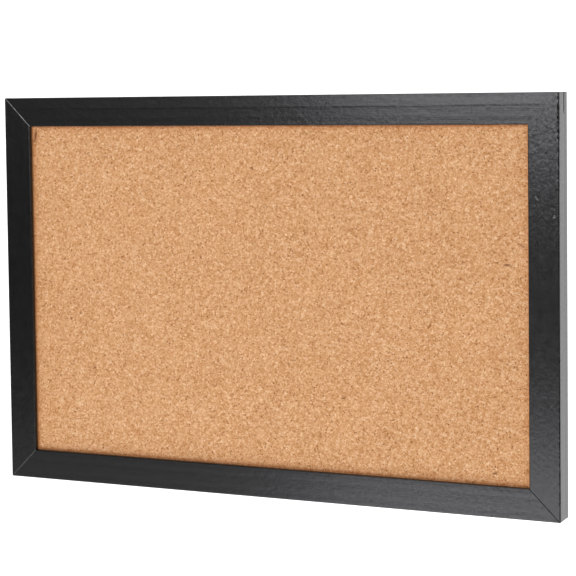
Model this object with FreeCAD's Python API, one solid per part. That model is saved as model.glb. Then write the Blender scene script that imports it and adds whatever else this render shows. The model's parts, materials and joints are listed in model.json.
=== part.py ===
import FreeCAD, Part

# Framed cork bulletin board that hangs on a wall.
#
# Four mitred lengths of one rabbeted wooden moulding hold a laminated panel: a cork sheet, a soft
# fibreboard core that takes the pins, and a hardboard back. Bent steel wedges pull each mitre together,
# flat steel points keep the panel in its rabbet, and two folded straps with swinging D-rings hang the
# board on a pair of wall hooks. Two rubber bumpers hold the lower edge off the wall.
#
# Millimetres. +Z is up, +X is to the right as seen from the front, and the cork faces -Y.
# The origin is the middle of the frame's back plane, the side that faces the wall.

import math
import os

# ---- Frame moulding ----
BOARD_WIDTH = 450.0          # over the outside of the frame
BOARD_HEIGHT = 300.0
FRAME_DEPTH = 20.0           # front face to back plane
FACE_WIDTH = 22.5            # the moulding as seen from the front
LIP_THICKNESS = 4.0          # wood in front of the cork, so also how deep the cork sits
LIP_REACH = 5.5              # how far the lip covers the panel's edge
FRONT_ARRIS = 0.7            # rounding of the two front edges
BACK_ARRIS = 0.4             # rounding of the outer back edge

# ---- Laminated panel ----
CORK_THICKNESS = 3.0
CORE_THICKNESS = 6.0
BACKER_THICKNESS = 3.0
PANEL_CLEARANCE = 0.5        # between the panel and each rabbet wall

# ---- V nails in the mitres ----
NAIL_LEG = 5.0               # one leg of the V, along its middle line
NAIL_GAUGE = 0.4             # steel thickness
NAIL_HEIGHT = 10.0           # how deep it is driven
NAIL_SET = 0.2               # how far below the back plane it stops
NAIL_HALF_ANGLE = 40.0       # degrees, from the mitre line to a leg
NAIL_OUTER_MARGIN = 3.0      # wood between the outer nail and the frame's edge
NAIL_RABBET_MARGIN = 1.5     # wood between the inner nail and the rabbet

# ---- Points that hold the panel ----
POINT_WIDTH = 5.5
POINT_GAUGE = 0.5
POINT_BITE = 5.5             # length driven into the wood
POINT_OVERLAP = 8.0          # length lying on the panel
POINT_TAPER = 3.0            # length of the sharpened tip
POINT_TAIL_CHAMFER = 1.2
POINTS_ON_LONG_SIDE = 4
POINTS_ON_SHORT_SIDE = 3
POINT_END_DISTANCE = 48.0    # from a panel corner to the nearest point

# ---- D-ring hangers ----
HANGER_DROP = 75.0           # from the top edge down to the ring's pivot
HANGER_SETBACK = 3.5         # from the stile's middle inwards, so that the ring stays hidden behind the frame
RING_WIRE_RADIUS = 1.1
RING_BEND_RADIUS = 1.8       # middle line of the bends beside the straight bar
RING_SIDE_LENGTH = 2.0       # straight wire between a bend and the round end
RING_SIDE_CLEARANCE = 0.8    # between the strap's edge and the bend
BAR_CLEARANCE = 0.1          # radial, between the bar and the strap's loop
STRAP_WIDTH = 9.0
STRAP_GAUGE = 0.8
STRAP_FOLD_GAP = 0.1         # between the two folded layers
RING_REST_CLEARANCE = 0.3    # between the ring and what it lies against, at both ends of its swing

# ---- Hanger screws ----
SCREW_HEAD_RADIUS = 3.2
SCREW_HEAD_HEIGHT = 2.0
SCREW_HEAD_ROUNDING = 1.1
SCREW_SHANK_RADIUS = 1.45
SCREW_LENGTH = 12.0          # under the head
SCREW_POINT_LENGTH = 3.0
SCREW_HOLE_CLEARANCE = 0.25  # radial, in the strap
SCREW_RING_CLEARANCE = 0.8   # between the head and the ring when it hangs
RECESS_SPAN = 3.6            # cross recess, tip to tip
RECESS_WIDTH = 0.9
RECESS_DEPTH = 1.2

# ---- Wall bumpers ----
BUMPER_RADIUS = 5.0
BUMPER_THICKNESS = 3.0
BUMPER_ROUNDING = 1.4
BUMPER_RISE = 28.0           # from the bottom edge up to the bumper's centre

# ---- Worked out from the values above ----
FRONT_Y = -FRAME_DEPTH
CORK_FRONT_Y = FRONT_Y + LIP_THICKNESS
CORE_FRONT_Y = CORK_FRONT_Y + CORK_THICKNESS
BACKER_FRONT_Y = CORE_FRONT_Y + CORE_THICKNESS
BACKER_BACK_Y = BACKER_FRONT_Y + BACKER_THICKNESS
RAIL_WIDTH = FACE_WIDTH - LIP_REACH                    # solid wood behind the lip
PANEL_WIDTH = BOARD_WIDTH - 2 * (RAIL_WIDTH + PANEL_CLEARANCE)
PANEL_HEIGHT = BOARD_HEIGHT - 2 * (RAIL_WIDTH + PANEL_CLEARANCE)
OPENING_WIDTH = BOARD_WIDTH - 2 * FACE_WIDTH
OPENING_HEIGHT = BOARD_HEIGHT - 2 * FACE_WIDTH

LOOP_BORE_RADIUS = RING_WIRE_RADIUS + BAR_CLEARANCE
LOOP_RADIUS = LOOP_BORE_RADIUS + STRAP_GAUGE           # the loop rests on the wood
STRAP_TOP_Y = 2 * STRAP_GAUGE + STRAP_FOLD_GAP
BAR_HALF_LENGTH = STRAP_WIDTH / 2 + RING_SIDE_CLEARANCE
RING_RADIUS = BAR_HALF_LENGTH + RING_BEND_RADIUS       # middle line of the round end
RING_ROUND_CENTRE = RING_BEND_RADIUS + RING_SIDE_LENGTH
RING_REACH = RING_ROUND_CENTRE + RING_RADIUS           # pivot to the far middle line
SCREW_DROP = RING_REACH + RING_WIRE_RADIUS + SCREW_RING_CLEARANCE + SCREW_HEAD_RADIUS
BUMPER_X = BOARD_WIDTH / 2 - RAIL_WIDTH / 2
HANGER_X = BUMPER_X - HANGER_SETBACK
PIVOT_Z = BOARD_HEIGHT / 2 - HANGER_DROP
BUMPER_Z = -BOARD_HEIGHT / 2 + BUMPER_RISE

# Each side is drawn as the top one and turned about Y: (member, name, length, half span, turn in degrees).
SIDES = (
    ("top_rail", "top", BOARD_WIDTH, BOARD_HEIGHT / 2, 0, POINTS_ON_LONG_SIDE),
    ("right_stile", "right", BOARD_HEIGHT, BOARD_WIDTH / 2, 90, POINTS_ON_SHORT_SIDE),
    ("bottom_rail", "bottom", BOARD_WIDTH, BOARD_HEIGHT / 2, 180, POINTS_ON_LONG_SIDE),
    ("left_stile", "left", BOARD_HEIGHT, BOARD_WIDTH / 2, 270, POINTS_ON_SHORT_SIDE),
)
# Corner name, and the signs of its X and Z.
CORNERS = (
    ("top_left", -1, 1),
    ("top_right", 1, 1),
    ("bottom_right", 1, -1),
    ("bottom_left", -1, -1),
)
HANDS = (("left", -1), ("right", 1))

X_AXIS = FreeCAD.Vector(1, 0, 0)
Y_AXIS = FreeCAD.Vector(0, 1, 0)
Z_AXIS = FreeCAD.Vector(0, 0, 1)
ORIGIN = FreeCAD.Vector(0, 0, 0)


def box(low, high):
    """A box between two corners."""
    size = [b - a for a, b in zip(low, high)]
    return Part.makeBox(*size, FreeCAD.Vector(*low))


def plate(outline, y_low, y_high):
    """A flat piece: an outline of (x, z) points, thick from y_low to y_high."""
    corners = [FreeCAD.Vector(x, y_low, z) for x, z in outline]
    face = Part.Face(Part.makePolygon(corners + corners[:1]))
    return face.extrude(Y_AXIS * (y_high - y_low))


def rod(radius, start, axis, length):
    """A round rod from start along axis."""
    return Part.makeCylinder(radius, length, start, axis)


def turned(shape, degrees):
    """A copy turned about the origin's Y axis."""
    copy = shape.copy()
    copy.rotate(ORIGIN, Y_AXIS, degrees)
    return copy


def moved(shape, x=0.0, y=0.0, z=0.0):
    """A shifted copy."""
    copy = shape.copy()
    copy.translate(FreeCAD.Vector(x, y, z))
    return copy


def edges_along_x(shape, y, z):
    """The edges parallel to X that lie at (y, z)."""
    found = []
    for edge in shape.Edges:
        ends = [vertex.Point for vertex in edge.Vertexes]
        if all(abs(p.y - y) < 1e-6 and abs(p.z - z) < 1e-6 for p in ends):
            found.append(edge)
    return found


def moulding(length, half_span):
    """One mitred frame member in the top position, with its outer edge at z = half_span."""
    half = length / 2
    outer = half_span
    inner = outer - FACE_WIDTH
    rabbet = outer - RAIL_WIDTH
    bar = box((-half, FRONT_Y, rabbet), (half, 0, outer))
    lip = box((-half, FRONT_Y, inner), (half, CORK_FRONT_Y, rabbet))
    stick = bar.fuse(lip).removeSplitter()
    front = edges_along_x(stick, FRONT_Y, outer) + edges_along_x(stick, FRONT_Y, inner)
    stick = stick.makeFillet(FRONT_ARRIS, front)
    stick = stick.makeFillet(BACK_ARRIS, edges_along_x(stick, 0, outer))
    run = half - FACE_WIDTH
    mitres = plate([(-half, outer), (half, outer), (run, inner), (-run, inner)], FRONT_Y, 0)
    return stick.common(mitres)


def v_nail(top_y):
    """One wedge with its apex on the origin's Y axis, opening towards +X, up to y = top_y."""
    angle = math.radians(NAIL_HALF_ANGLE)
    tip = (NAIL_LEG * math.cos(angle), NAIL_LEG * math.sin(angle))
    side = (NAIL_GAUGE / 2 * math.sin(angle), NAIL_GAUGE / 2 * math.cos(angle))
    apex = NAIL_GAUGE / 2 / math.sin(angle)
    upper = [(-apex, 0), (tip[0] - side[0], tip[1] + side[1]), (tip[0] + side[0], tip[1] - side[1])]
    lower = [(x, -z) for x, z in reversed(upper[1:])]
    outline = upper + [(apex, 0)] + lower
    return plate(outline, -NAIL_SET - NAIL_HEIGHT, top_y)


def nails_at(sign_x, sign_z, top_y):
    """The two wedges of one corner, set along its mitre."""
    spread = NAIL_LEG * (math.cos(math.radians(NAIL_HALF_ANGLE)) + math.sin(math.radians(NAIL_HALF_ANGLE)))
    outer_apex = math.sqrt(2) * NAIL_OUTER_MARGIN
    inner_apex = math.sqrt(2) * (RAIL_WIDTH - NAIL_RABBET_MARGIN) - spread
    inward = math.degrees(math.atan2(sign_z, -sign_x))   # turn that points +X along the mitre, inwards
    nails = []
    for apex in (outer_apex, inner_apex):
        nail = turned(moved(v_nail(top_y), x=apex), inward)
        nails.append(moved(nail, x=sign_x * BOARD_WIDTH / 2, z=sign_z * BOARD_HEIGHT / 2))
    return nails


def point_places(length, count):
    """Where the points stand along one side, evenly spread between its ends."""
    first = -(length / 2 - RAIL_WIDTH - PANEL_CLEARANCE) + POINT_END_DISTANCE
    pitch = -2 * first / (count - 1)
    return [first + pitch * i for i in range(count)]


def retaining_points(length, half_span, count):
    """The flat points of one side in the top position: tips in the wood, tails on the panel."""
    wall = half_span - RAIL_WIDTH
    tail = wall - PANEL_CLEARANCE - POINT_OVERLAP
    tip = wall + POINT_BITE
    half = POINT_WIDTH / 2
    cut = half - POINT_TAIL_CHAMFER
    outline = [
        (-cut, tail),
        (cut, tail),
        (half, tail + POINT_TAIL_CHAMFER),
        (half, tip - POINT_TAPER),
        (0, tip),
        (-half, tip - POINT_TAPER),
        (-half, tail + POINT_TAIL_CHAMFER),
    ]
    point = plate(outline, BACKER_BACK_Y, BACKER_BACK_Y + POINT_GAUGE)
    return [moved(point, x=x) for x in point_places(length, count)]


def screw():
    """A pan-head wood screw standing on y = 0 under its head, with its point towards -Y."""
    head = rod(SCREW_HEAD_RADIUS, ORIGIN, Y_AXIS, SCREW_HEAD_HEIGHT)
    rims = [e for e in head.Edges if isinstance(e.Curve, Part.Circle) and e.BoundBox.YMin > SCREW_HEAD_HEIGHT / 2]
    head = head.makeFillet(SCREW_HEAD_ROUNDING, rims)
    floor = SCREW_HEAD_HEIGHT - RECESS_DEPTH
    half = RECESS_SPAN / 2
    slot = box((-half, floor, -RECESS_WIDTH / 2), (half, SCREW_HEAD_HEIGHT, RECESS_WIDTH / 2))
    head = head.cut(slot.fuse(turned(slot, 90)))
    return head.fuse(screw_shank(0))


def screw_shank(top_y):
    """The screw's shank and point, from y = top_y down."""
    straight = SCREW_LENGTH - SCREW_POINT_LENGTH
    start = FreeCAD.Vector(0, top_y, 0)
    shank = rod(SCREW_SHANK_RADIUS, start, -Y_AXIS, straight + top_y)
    neck = FreeCAD.Vector(0, -straight, 0)
    point = Part.makeCone(SCREW_SHANK_RADIUS, 0, SCREW_POINT_LENGTH, neck, -Y_AXIS)
    return shank.fuse(point).removeSplitter()


def at_hanger_screw(shape, sign):
    """Moves a screw drawn at the origin to its place in one hanger."""
    return moved(shape, x=sign * HANGER_X, y=STRAP_TOP_Y, z=PIVOT_Z - SCREW_DROP)


def hanger_strap(sign):
    """A steel strip folded round the ring's bar and held by one screw through both layers."""
    half = STRAP_WIDTH / 2
    left = FreeCAD.Vector(-half, LOOP_RADIUS, 0)
    end = -SCREW_DROP - half
    loop = rod(LOOP_RADIUS, left, X_AXIS, STRAP_WIDTH)
    layers = box((-half, 0, end), (half, STRAP_TOP_Y, -LOOP_BORE_RADIUS))
    heel = box((-half, 0, end), (half, STRAP_GAUGE, 0))
    strip = loop.fuse([layers, heel])
    strip = strip.cut(rod(LOOP_BORE_RADIUS, left, X_AXIS, STRAP_WIDTH))
    fold = box((-half, STRAP_GAUGE, end), (half, STRAP_GAUGE + STRAP_FOLD_GAP, 0))
    strip = strip.cut(fold)
    screw_axis = FreeCAD.Vector(0, 0, -SCREW_DROP)
    tongue = rod(half, screw_axis, Y_AXIS, STRAP_TOP_Y)
    upright = box((-half, 0, -SCREW_DROP), (half, 2 * LOOP_RADIUS, LOOP_RADIUS))
    strip = strip.common(upright.fuse(tongue))
    strip = strip.cut(rod(SCREW_SHANK_RADIUS + SCREW_HOLE_CLEARANCE, screw_axis, Y_AXIS, STRAP_TOP_Y))
    return moved(strip, x=sign * HANGER_X, z=PIVOT_Z)


def ring_rest_angle():
    """How far from straight down, in degrees, the hanging ring leans out to clear its strap."""
    half = STRAP_WIDTH / 2
    crossing = RING_ROUND_CENTRE + math.sqrt(RING_RADIUS**2 - half**2)
    rise = STRAP_TOP_Y + RING_REST_CLEARANCE + RING_WIRE_RADIUS - LOOP_RADIUS
    return math.degrees(math.asin(rise / crossing))


def ring_swing():
    """How far the ring turns, in degrees, from lying on its strap to lying on the wood above."""
    drop = LOOP_RADIUS - RING_WIRE_RADIUS - RING_REST_CLEARANCE
    past_upright = math.degrees(math.asin(drop / RING_REACH))
    return 180 - ring_rest_angle() + past_upright


def hanger_ring(sign):
    """A D-ring of round wire, its straight bar on the pivot and its round end hanging down."""
    bar, bend, side = BAR_HALF_LENGTH, RING_BEND_RADIUS, RING_RADIUS
    diagonal = math.sqrt(0.5)

    def spot(x, z):
        return FreeCAD.Vector(x, 0, z)

    edges = [Part.LineSegment(spot(-bar, 0), spot(bar, 0)).toShape()]
    for hand in (1, -1):
        mid_bend = spot(hand * (bar + bend * diagonal), -bend * (1 - diagonal))
        edges.append(Part.Arc(spot(hand * bar, 0), mid_bend, spot(hand * side, -bend)).toShape())
        edges.append(Part.LineSegment(spot(hand * side, -bend), spot(hand * side, -RING_ROUND_CENTRE)).toShape())
    edges.append(
        Part.Arc(spot(-side, -RING_ROUND_CENTRE), spot(0, -RING_REACH), spot(side, -RING_ROUND_CENTRE)).toShape()
    )
    wires = []
    for edge in edges:
        start = edge.valueAt(edge.FirstParameter)
        heading = edge.tangentAt(edge.FirstParameter)
        section = Part.Face(Part.Wire(Part.makeCircle(RING_WIRE_RADIUS, start, heading)))
        wires.append(Part.Wire(edge).makePipe(section))
    ring = wires[0].fuse(wires[1:]).removeSplitter()
    ring.rotate(ORIGIN, X_AXIS, ring_rest_angle())
    return moved(ring, x=sign * HANGER_X, y=LOOP_RADIUS, z=PIVOT_Z)


def wall_bumper(sign):
    """A round rubber foot stuck to the back of a stile."""
    pad = rod(BUMPER_RADIUS, ORIGIN, Y_AXIS, BUMPER_THICKNESS)
    rims = [e for e in pad.Edges if isinstance(e.Curve, Part.Circle) and e.BoundBox.YMin > BUMPER_THICKNESS / 2]
    pad = pad.makeFillet(BUMPER_ROUNDING, rims)
    return moved(pad, x=sign * BUMPER_X, z=BUMPER_Z)


def sheet(width, height, y_low, y_high):
    """A rectangular sheet centred on the board."""
    return box((-width / 2, y_low, -height / 2), (width / 2, y_high, height / 2))


def cork_sheet():
    """The cork, with the part that shows through the frame kept as a face of its own."""
    shown = sheet(OPENING_WIDTH, OPENING_HEIGHT, CORK_FRONT_Y, CORE_FRONT_Y)
    whole = sheet(PANEL_WIDTH, PANEL_HEIGHT, CORK_FRONT_Y, CORE_FRONT_Y)
    return whole.cut(shown).fuse(shown)


def frame_members():
    """The four members, with the holes that the wedges, points and screws make in them."""
    members = {}
    cutters = []
    for corner, sign_x, sign_z in CORNERS:
        cutters += nails_at(sign_x, sign_z, 0)
    for hand, sign in HANDS:
        cutters.append(at_hanger_screw(screw_shank(0), sign))
    for member, side, length, half_span, turn, count in SIDES:
        points = [turned(p, turn) for p in retaining_points(length, half_span, count)]
        members[member] = turned(moulding(length, half_span), turn).cut(cutters + points)
    return members


def build():
    """Every sub-part by node name."""
    parts = frame_members()
    parts["cork_sheet"] = cork_sheet()
    parts["fibreboard_core"] = sheet(PANEL_WIDTH, PANEL_HEIGHT, CORE_FRONT_Y, BACKER_FRONT_Y)
    parts["hardboard_back"] = sheet(PANEL_WIDTH, PANEL_HEIGHT, BACKER_FRONT_Y, BACKER_BACK_Y)
    for corner, sign_x, sign_z in CORNERS:
        parts["v_nails_" + corner] = Part.makeCompound(nails_at(sign_x, sign_z, -NAIL_SET))
    for member, side, length, half_span, turn, count in SIDES:
        points = [turned(p, turn) for p in retaining_points(length, half_span, count)]
        parts["retaining_points_" + side] = Part.makeCompound(points)
    for hand, sign in HANDS:
        parts["hanger_strap_" + hand] = hanger_strap(sign)
        parts["hanger_ring_" + hand] = hanger_ring(sign)
        parts["hanger_screw_" + hand] = at_hanger_screw(screw(), sign)
        parts["wall_bumper_" + hand] = wall_bumper(sign)
    return parts


def main():
    """Writes one STEP file for each sub-part and prints the figures that the record needs."""
    os.makedirs("parts", exist_ok=True)
    for name, shape in build().items():
        shape.exportStep("parts/" + name + ".step")
        print(f"{name}: {len(shape.Solids)} solid(s), {shape.Volume:.1f} mm3, valid {shape.isValid()}")
    print(f"ring pivot at x +-{HANGER_X:.3f}, y {LOOP_RADIUS:.3f}, z {PIVOT_Z:.3f}")
    print(f"ring leans {ring_rest_angle():.2f} degrees at rest and swings {ring_swing():.2f} degrees")


main()
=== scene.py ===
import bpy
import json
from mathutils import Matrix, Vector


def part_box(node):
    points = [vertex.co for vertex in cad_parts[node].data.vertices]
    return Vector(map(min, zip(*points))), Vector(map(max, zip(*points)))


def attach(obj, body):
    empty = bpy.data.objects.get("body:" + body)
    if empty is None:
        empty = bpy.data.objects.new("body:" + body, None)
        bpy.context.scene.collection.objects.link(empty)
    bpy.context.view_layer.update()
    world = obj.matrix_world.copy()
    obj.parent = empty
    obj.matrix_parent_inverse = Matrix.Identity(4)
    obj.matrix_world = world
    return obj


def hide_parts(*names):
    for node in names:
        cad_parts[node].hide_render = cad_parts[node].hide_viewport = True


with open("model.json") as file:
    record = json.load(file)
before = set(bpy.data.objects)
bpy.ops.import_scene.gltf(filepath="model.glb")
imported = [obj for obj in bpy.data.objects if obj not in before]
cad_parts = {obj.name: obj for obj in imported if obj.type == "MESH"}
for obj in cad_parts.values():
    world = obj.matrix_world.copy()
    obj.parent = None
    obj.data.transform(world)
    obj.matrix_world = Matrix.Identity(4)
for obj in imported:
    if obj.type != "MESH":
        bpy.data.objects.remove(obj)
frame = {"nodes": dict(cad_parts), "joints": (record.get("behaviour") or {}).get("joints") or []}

"""The looks of a framed cork bulletin board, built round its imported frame.

Everything is in metres in the frame's own axes: +X to the right of a person who faces the cork, +Y towards
the wall, +Z up, and the origin in the middle of the frame's back plane.
"""

import json
import logging
import math
from dataclasses import dataclass, field
from enum import IntEnum
from typing import Iterable, Sequence

import bmesh
import bpy
import numpy as np
from mathutils import Matrix, Vector

LOG = logging.getLogger("board")
MM = 0.001
MERGE_DISTANCE = 1e-6
TO_MILLIMETRES = 1000.0
LINE_KNOTS = 4096
SHEET_KNOTS = 512


# ---------------------------------------------------------------- small helpers


def linear(code: str) -> tuple[float, float, float, float]:
    """Turns an sRGB hex colour into linear light.

    Args:
        code: Six hex digits with a leading hash.

    Returns:
        Red, green, blue and an alpha of one.
    """
    channels = [int(code[i : i + 2], 16) / 255 for i in (1, 3, 5)]
    red, green, blue = (c / 12.92 if c <= 0.04045 else ((c + 0.055) / 1.055) ** 2.4 for c in channels)
    return red, green, blue, 1.0


def add(
    tree: bpy.types.NodeTree, kind: str, inputs: dict[int | str, object] | None = None,
    stops: Sequence[tuple[float, str]] = (), **settings: object,
) -> bpy.types.Node:
    """Adds one node to a tree.

    Args:
        tree: The material's or modifier's node tree.
        kind: The node's type.
        inputs: Input name or number to a value, or to the socket or node that feeds it.
        stops: Places and hex colours of a colour ramp.
        **settings: Properties of the node.

    Returns:
        The new node.
    """
    made = tree.nodes.new(kind)
    for name, value in settings.items():
        setattr(made, name, value)
    for number, (place, code) in enumerate(stops):
        ramp = made.color_ramp.elements
        element = ramp[number] if number < len(ramp) else ramp.new(place)
        element.position = place
        element.color = linear(code)
    feed(tree, made, inputs or {})
    return made


def feed(tree: bpy.types.NodeTree, node: bpy.types.Node, inputs: dict[int | str, object]) -> None:
    """Sets a node's inputs or links them to what feeds them.

    Args:
        tree: The node's tree.
        node: The node.
        inputs: Input name or number to a value, to the output socket that feeds it, or to a node whose
            first output does.
    """
    for key, value in inputs.items():
        if isinstance(value, bpy.types.Node):
            value = value.outputs[0]
        if isinstance(value, bpy.types.NodeSocket):
            tree.links.new(value, node.inputs[key])
        else:
            node.inputs[key].default_value = value


def mesh_object(name: str, points: np.ndarray, faces: Iterable[Sequence[int]]) -> bpy.types.Object:
    """Makes an object at the origin from points and faces.

    Args:
        name: The piece's name.
        points: One row of x, y and z for each point, in metres.
        faces: Point numbers of each face.

    Returns:
        The object, linked to the scene.
    """
    mesh = bpy.data.meshes.new(name)
    mesh.from_pydata([tuple(map(float, p)) for p in points], [], [tuple(map(int, f)) for f in faces])
    made = bpy.data.objects.new(name, mesh)
    bpy.context.scene.collection.objects.link(made)
    return made


def quads(rows: int, columns: int) -> list[tuple[int, int, int, int]]:
    """Faces between the rings of a tube.

    Args:
        rows: Number of rings.
        columns: Points in each ring.

    Returns:
        Point numbers of each face, ring by ring.
    """
    faces = []
    for low in range(0, (rows - 1) * columns, columns):
        for near in range(columns):
            far = (near + 1) % columns
            faces.append((low + near, low + far, low + columns + far, low + columns + near))
    return faces


def mark(piece: bpy.types.Object, **marks: np.ndarray) -> None:
    """Writes named numbers on a mesh's points for its material to read."""
    for name, values in marks.items():
        layer = piece.data.attributes.new(name, "FLOAT", "POINT")
        layer.data.foreach_set("value", values.astype(np.float32).ravel())


def tidy_mesh(piece: bpy.types.Object, smooth_angle: float = 35.0) -> None:
    """Merges doubles, points the faces outwards and shades the mesh smooth up to an angle.

    Args:
        piece: The object whose mesh is finished.
        smooth_angle: Edges sharper than this stay crisp, in degrees.
    """
    work = bmesh.new()
    work.from_mesh(piece.data)
    bmesh.ops.remove_doubles(work, verts=work.verts, dist=MERGE_DISTANCE)
    bmesh.ops.recalc_face_normals(work, faces=work.faces)
    work.to_mesh(piece.data)
    work.free()
    piece.data.shade_smooth()
    piece.data.set_sharp_from_angle(angle=math.radians(smooth_angle))


def settle(piece: bpy.types.Object) -> None:
    """Turns the result of a piece's modifiers into its plain mesh.

    Args:
        piece: The object whose modifiers are applied.
    """
    graph = bpy.context.evaluated_depsgraph_get()
    result = bpy.data.meshes.new_from_object(piece.evaluated_get(graph), depsgraph=graph)
    piece.modifiers.clear()
    old, piece.data = piece.data, result
    result.name = piece.name
    bpy.data.meshes.remove(old)


def carve(piece: bpy.types.Object, cutter: bpy.types.Object) -> None:
    """Cuts one object out of another and deletes the cutter.

    Args:
        piece: What is cut.
        cutter: A closed mesh.
    """
    cut = piece.modifiers.new("cut", "BOOLEAN")
    cut.operation = "DIFFERENCE"
    cut.solver = "MANIFOLD"
    cut.object = cutter
    settle(piece)
    remove(cutter)


def remove(helper: bpy.types.Object) -> None:
    """Deletes a helper object and its mesh."""
    mesh = helper.data
    bpy.data.objects.remove(helper)
    bpy.data.meshes.remove(mesh)


def copy_of_node(name: str, node: str) -> bpy.types.Object:
    """Makes a new object with the merged mesh of one frame node.

    Args:
        name: The new object's name.
        node: The frame node that is copied.

    Returns:
        The copy. The node itself isn't touched.
    """
    made = bpy.data.objects.new(name, frame["nodes"][node].data.copy())
    bpy.context.scene.collection.objects.link(made)
    tidy_mesh(made)
    return made


def dress(piece: bpy.types.Object, material: bpy.types.Material) -> None:
    """Gives every face of a piece one material."""
    piece.data.materials.clear()
    piece.data.materials.append(material)


def finish_piece(piece: bpy.types.Object, body: str, nodes: Sequence[str] = ()) -> None:
    """Hands a finished piece to the frame and reports it.

    Args:
        piece: The object, in place.
        body: The frame body that it moves with.
        nodes: Frame nodes that it stands for.
    """
    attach(piece, body)
    if nodes:
        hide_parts(*nodes)
    LOG.info("%s: %d faces on body %s", piece.name, len(piece.data.polygons), body)


def ease(share: np.ndarray) -> np.ndarray:
    """Rounds both ends of a ramp from 0 to 1."""
    return share * share * (3 - 2 * share)


def bell(distance: np.ndarray, width: float) -> np.ndarray:
    """A smooth hump of height 1 that dies away over a width on each side."""
    return np.exp(-(distance**2) / width**2)


def beyond(distance: np.ndarray) -> np.ndarray:
    """How far each point lies past a line, and zero before it."""
    return np.clip(distance, 0, 1)


def turned(x: np.ndarray, z: np.ndarray, degrees: float) -> tuple[np.ndarray, np.ndarray]:
    """Places along and across a direction that leans by some degrees."""
    lean = math.radians(degrees)
    return x * math.cos(lean) + z * math.sin(lean), -x * math.sin(lean) + z * math.cos(lean)


def oval(along: np.ndarray, across: np.ndarray, length: float, width: float) -> np.ndarray:
    """0 in the middle of an oval, 1 on its edge and more outside it."""
    return (2 * along / length) ** 2 + (2 * across / width) ** 2


def circle(degrees: float) -> tuple[float, float]:
    """Cosine and sine of an angle in degrees."""
    return math.cos(math.radians(degrees)), math.sin(math.radians(degrees))


def drift(places: np.ndarray, length: float, seed: int) -> np.ndarray:
    """Smooth random values along a line.

    Args:
        places: Where the values are wanted.
        length: Distance between two independent values, in the same unit.
        seed: Chooses the random row.

    Returns:
        A value from -1 to 1 for each place.
    """
    knots = np.random.default_rng(seed).uniform(-1, 1, LINE_KNOTS)
    steps = places / length + len(knots) / 2
    low = np.floor(steps).astype(int)
    share = ease(steps - low)
    return knots[low % len(knots)] * (1 - share) + knots[(low + 1) % len(knots)] * share


def lumps(along: np.ndarray, across: np.ndarray, size: tuple[float, float], seed: int) -> np.ndarray:
    """Smooth random values over a surface.

    Args:
        along: First place of each point.
        across: Second place of each point.
        size: Distance between two independent values in each direction.
        seed: Chooses the random values.

    Returns:
        A value from -1 to 1 for each point.
    """
    side = SHEET_KNOTS
    knots = np.random.default_rng(seed).uniform(-1, 1, (side, side))
    steps = [place / pitch + side / 2 for place, pitch in zip((along, across), size)]
    low = [np.floor(step).astype(int) for step in steps]
    blend = [ease(step - base) for step, base in zip(steps, low)]
    near, far = (
        knots[(low[0] + i) % side, low[1] % side] * (1 - blend[1])
        + knots[(low[0] + i) % side, (low[1] + 1) % side] * blend[1]
        for i in (0, 1)
    )
    return near * (1 - blend[0]) + far * blend[0]


def open_tree(name: str, **inputs: str) -> tuple[bpy.types.NodeTree, bpy.types.bpy_prop_collection]:
    """Starts a geometry node tree with named inputs.

    Args:
        name: The tree's name.
        **inputs: Kind of each input.

    Returns:
        The tree and the sockets of its inputs.
    """
    tree = bpy.data.node_groups.new(name, "GeometryNodeTree")
    for label, kind in inputs.items():
        tree.interface.new_socket(label, in_out="INPUT", socket_type="NodeSocket" + kind)
    tree.interface.new_socket("Geometry", in_out="OUTPUT", socket_type="NodeSocketGeometry")
    return tree, add(tree, "NodeGroupInput").outputs


def close_tree(tree: bpy.types.NodeTree, shape: bpy.types.Node, finish: bpy.types.NodeSocket) -> None:
    """Ends a geometry node tree in plain geometry that wears its finish.

    Args:
        tree: The tree.
        shape: The node whose first output is the shape.
        finish: The socket that gives the material.
    """
    real = add(tree, "GeometryNodeRealizeInstances", {"Geometry": shape})
    dressed = add(tree, "GeometryNodeSetMaterial", {"Geometry": real, "Material": finish})
    add(tree, "NodeGroupOutput", {0: dressed})


def run_tree(piece: bpy.types.Object, tree: bpy.types.NodeTree, values: dict[str, object]) -> None:
    """Runs a geometry node tree on a piece and keeps the plain mesh.

    Args:
        piece: The object that carries the modifier for a moment.
        tree: The node tree.
        values: Value of each named input.
    """
    modifier = piece.modifiers.new("build", "NODES")
    modifier.node_group = tree
    sockets = {item.name: item.identifier for item in tree.interface.items_tree if item.in_out == "INPUT"}
    for name, value in values.items():
        modifier[sockets[name]] = value
    settle(piece)
    used = [slot for slot in piece.data.materials if slot is not None]
    piece.data.materials.clear()
    for slot in used:
        piece.data.materials.append(slot)
    piece.data.polygons.foreach_set("material_index", [0] * len(piece.data.polygons))


# ---------------------------------------------------------------- finishes


@dataclass(frozen=True)
class Finish:
    """A named finish that makes one material."""

    name: str

    def start(self) -> tuple[bpy.types.NodeTree, bpy.types.Node, bpy.types.Material]:
        """Makes an empty material with its shader.

        Returns:
            The node tree, the shader and the material.
        """
        material = bpy.data.materials.new(self.name)
        material.use_nodes = True
        tree = material.node_tree
        tree.nodes.clear()
        shader = add(tree, "ShaderNodeBsdfPrincipled")
        add(tree, "ShaderNodeOutputMaterial", {"Surface": shader})
        return tree, shader, material

    def millimetres(self, tree: bpy.types.NodeTree, place: bpy.types.NodeSocket) -> bpy.types.NodeSocket:
        """Turns a place in metres to millimetres, so that a scale is one over a real size."""
        return add(tree, "ShaderNodeVectorMath", {0: place, 3: TO_MILLIMETRES}, operation="SCALE").outputs[0]


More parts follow.
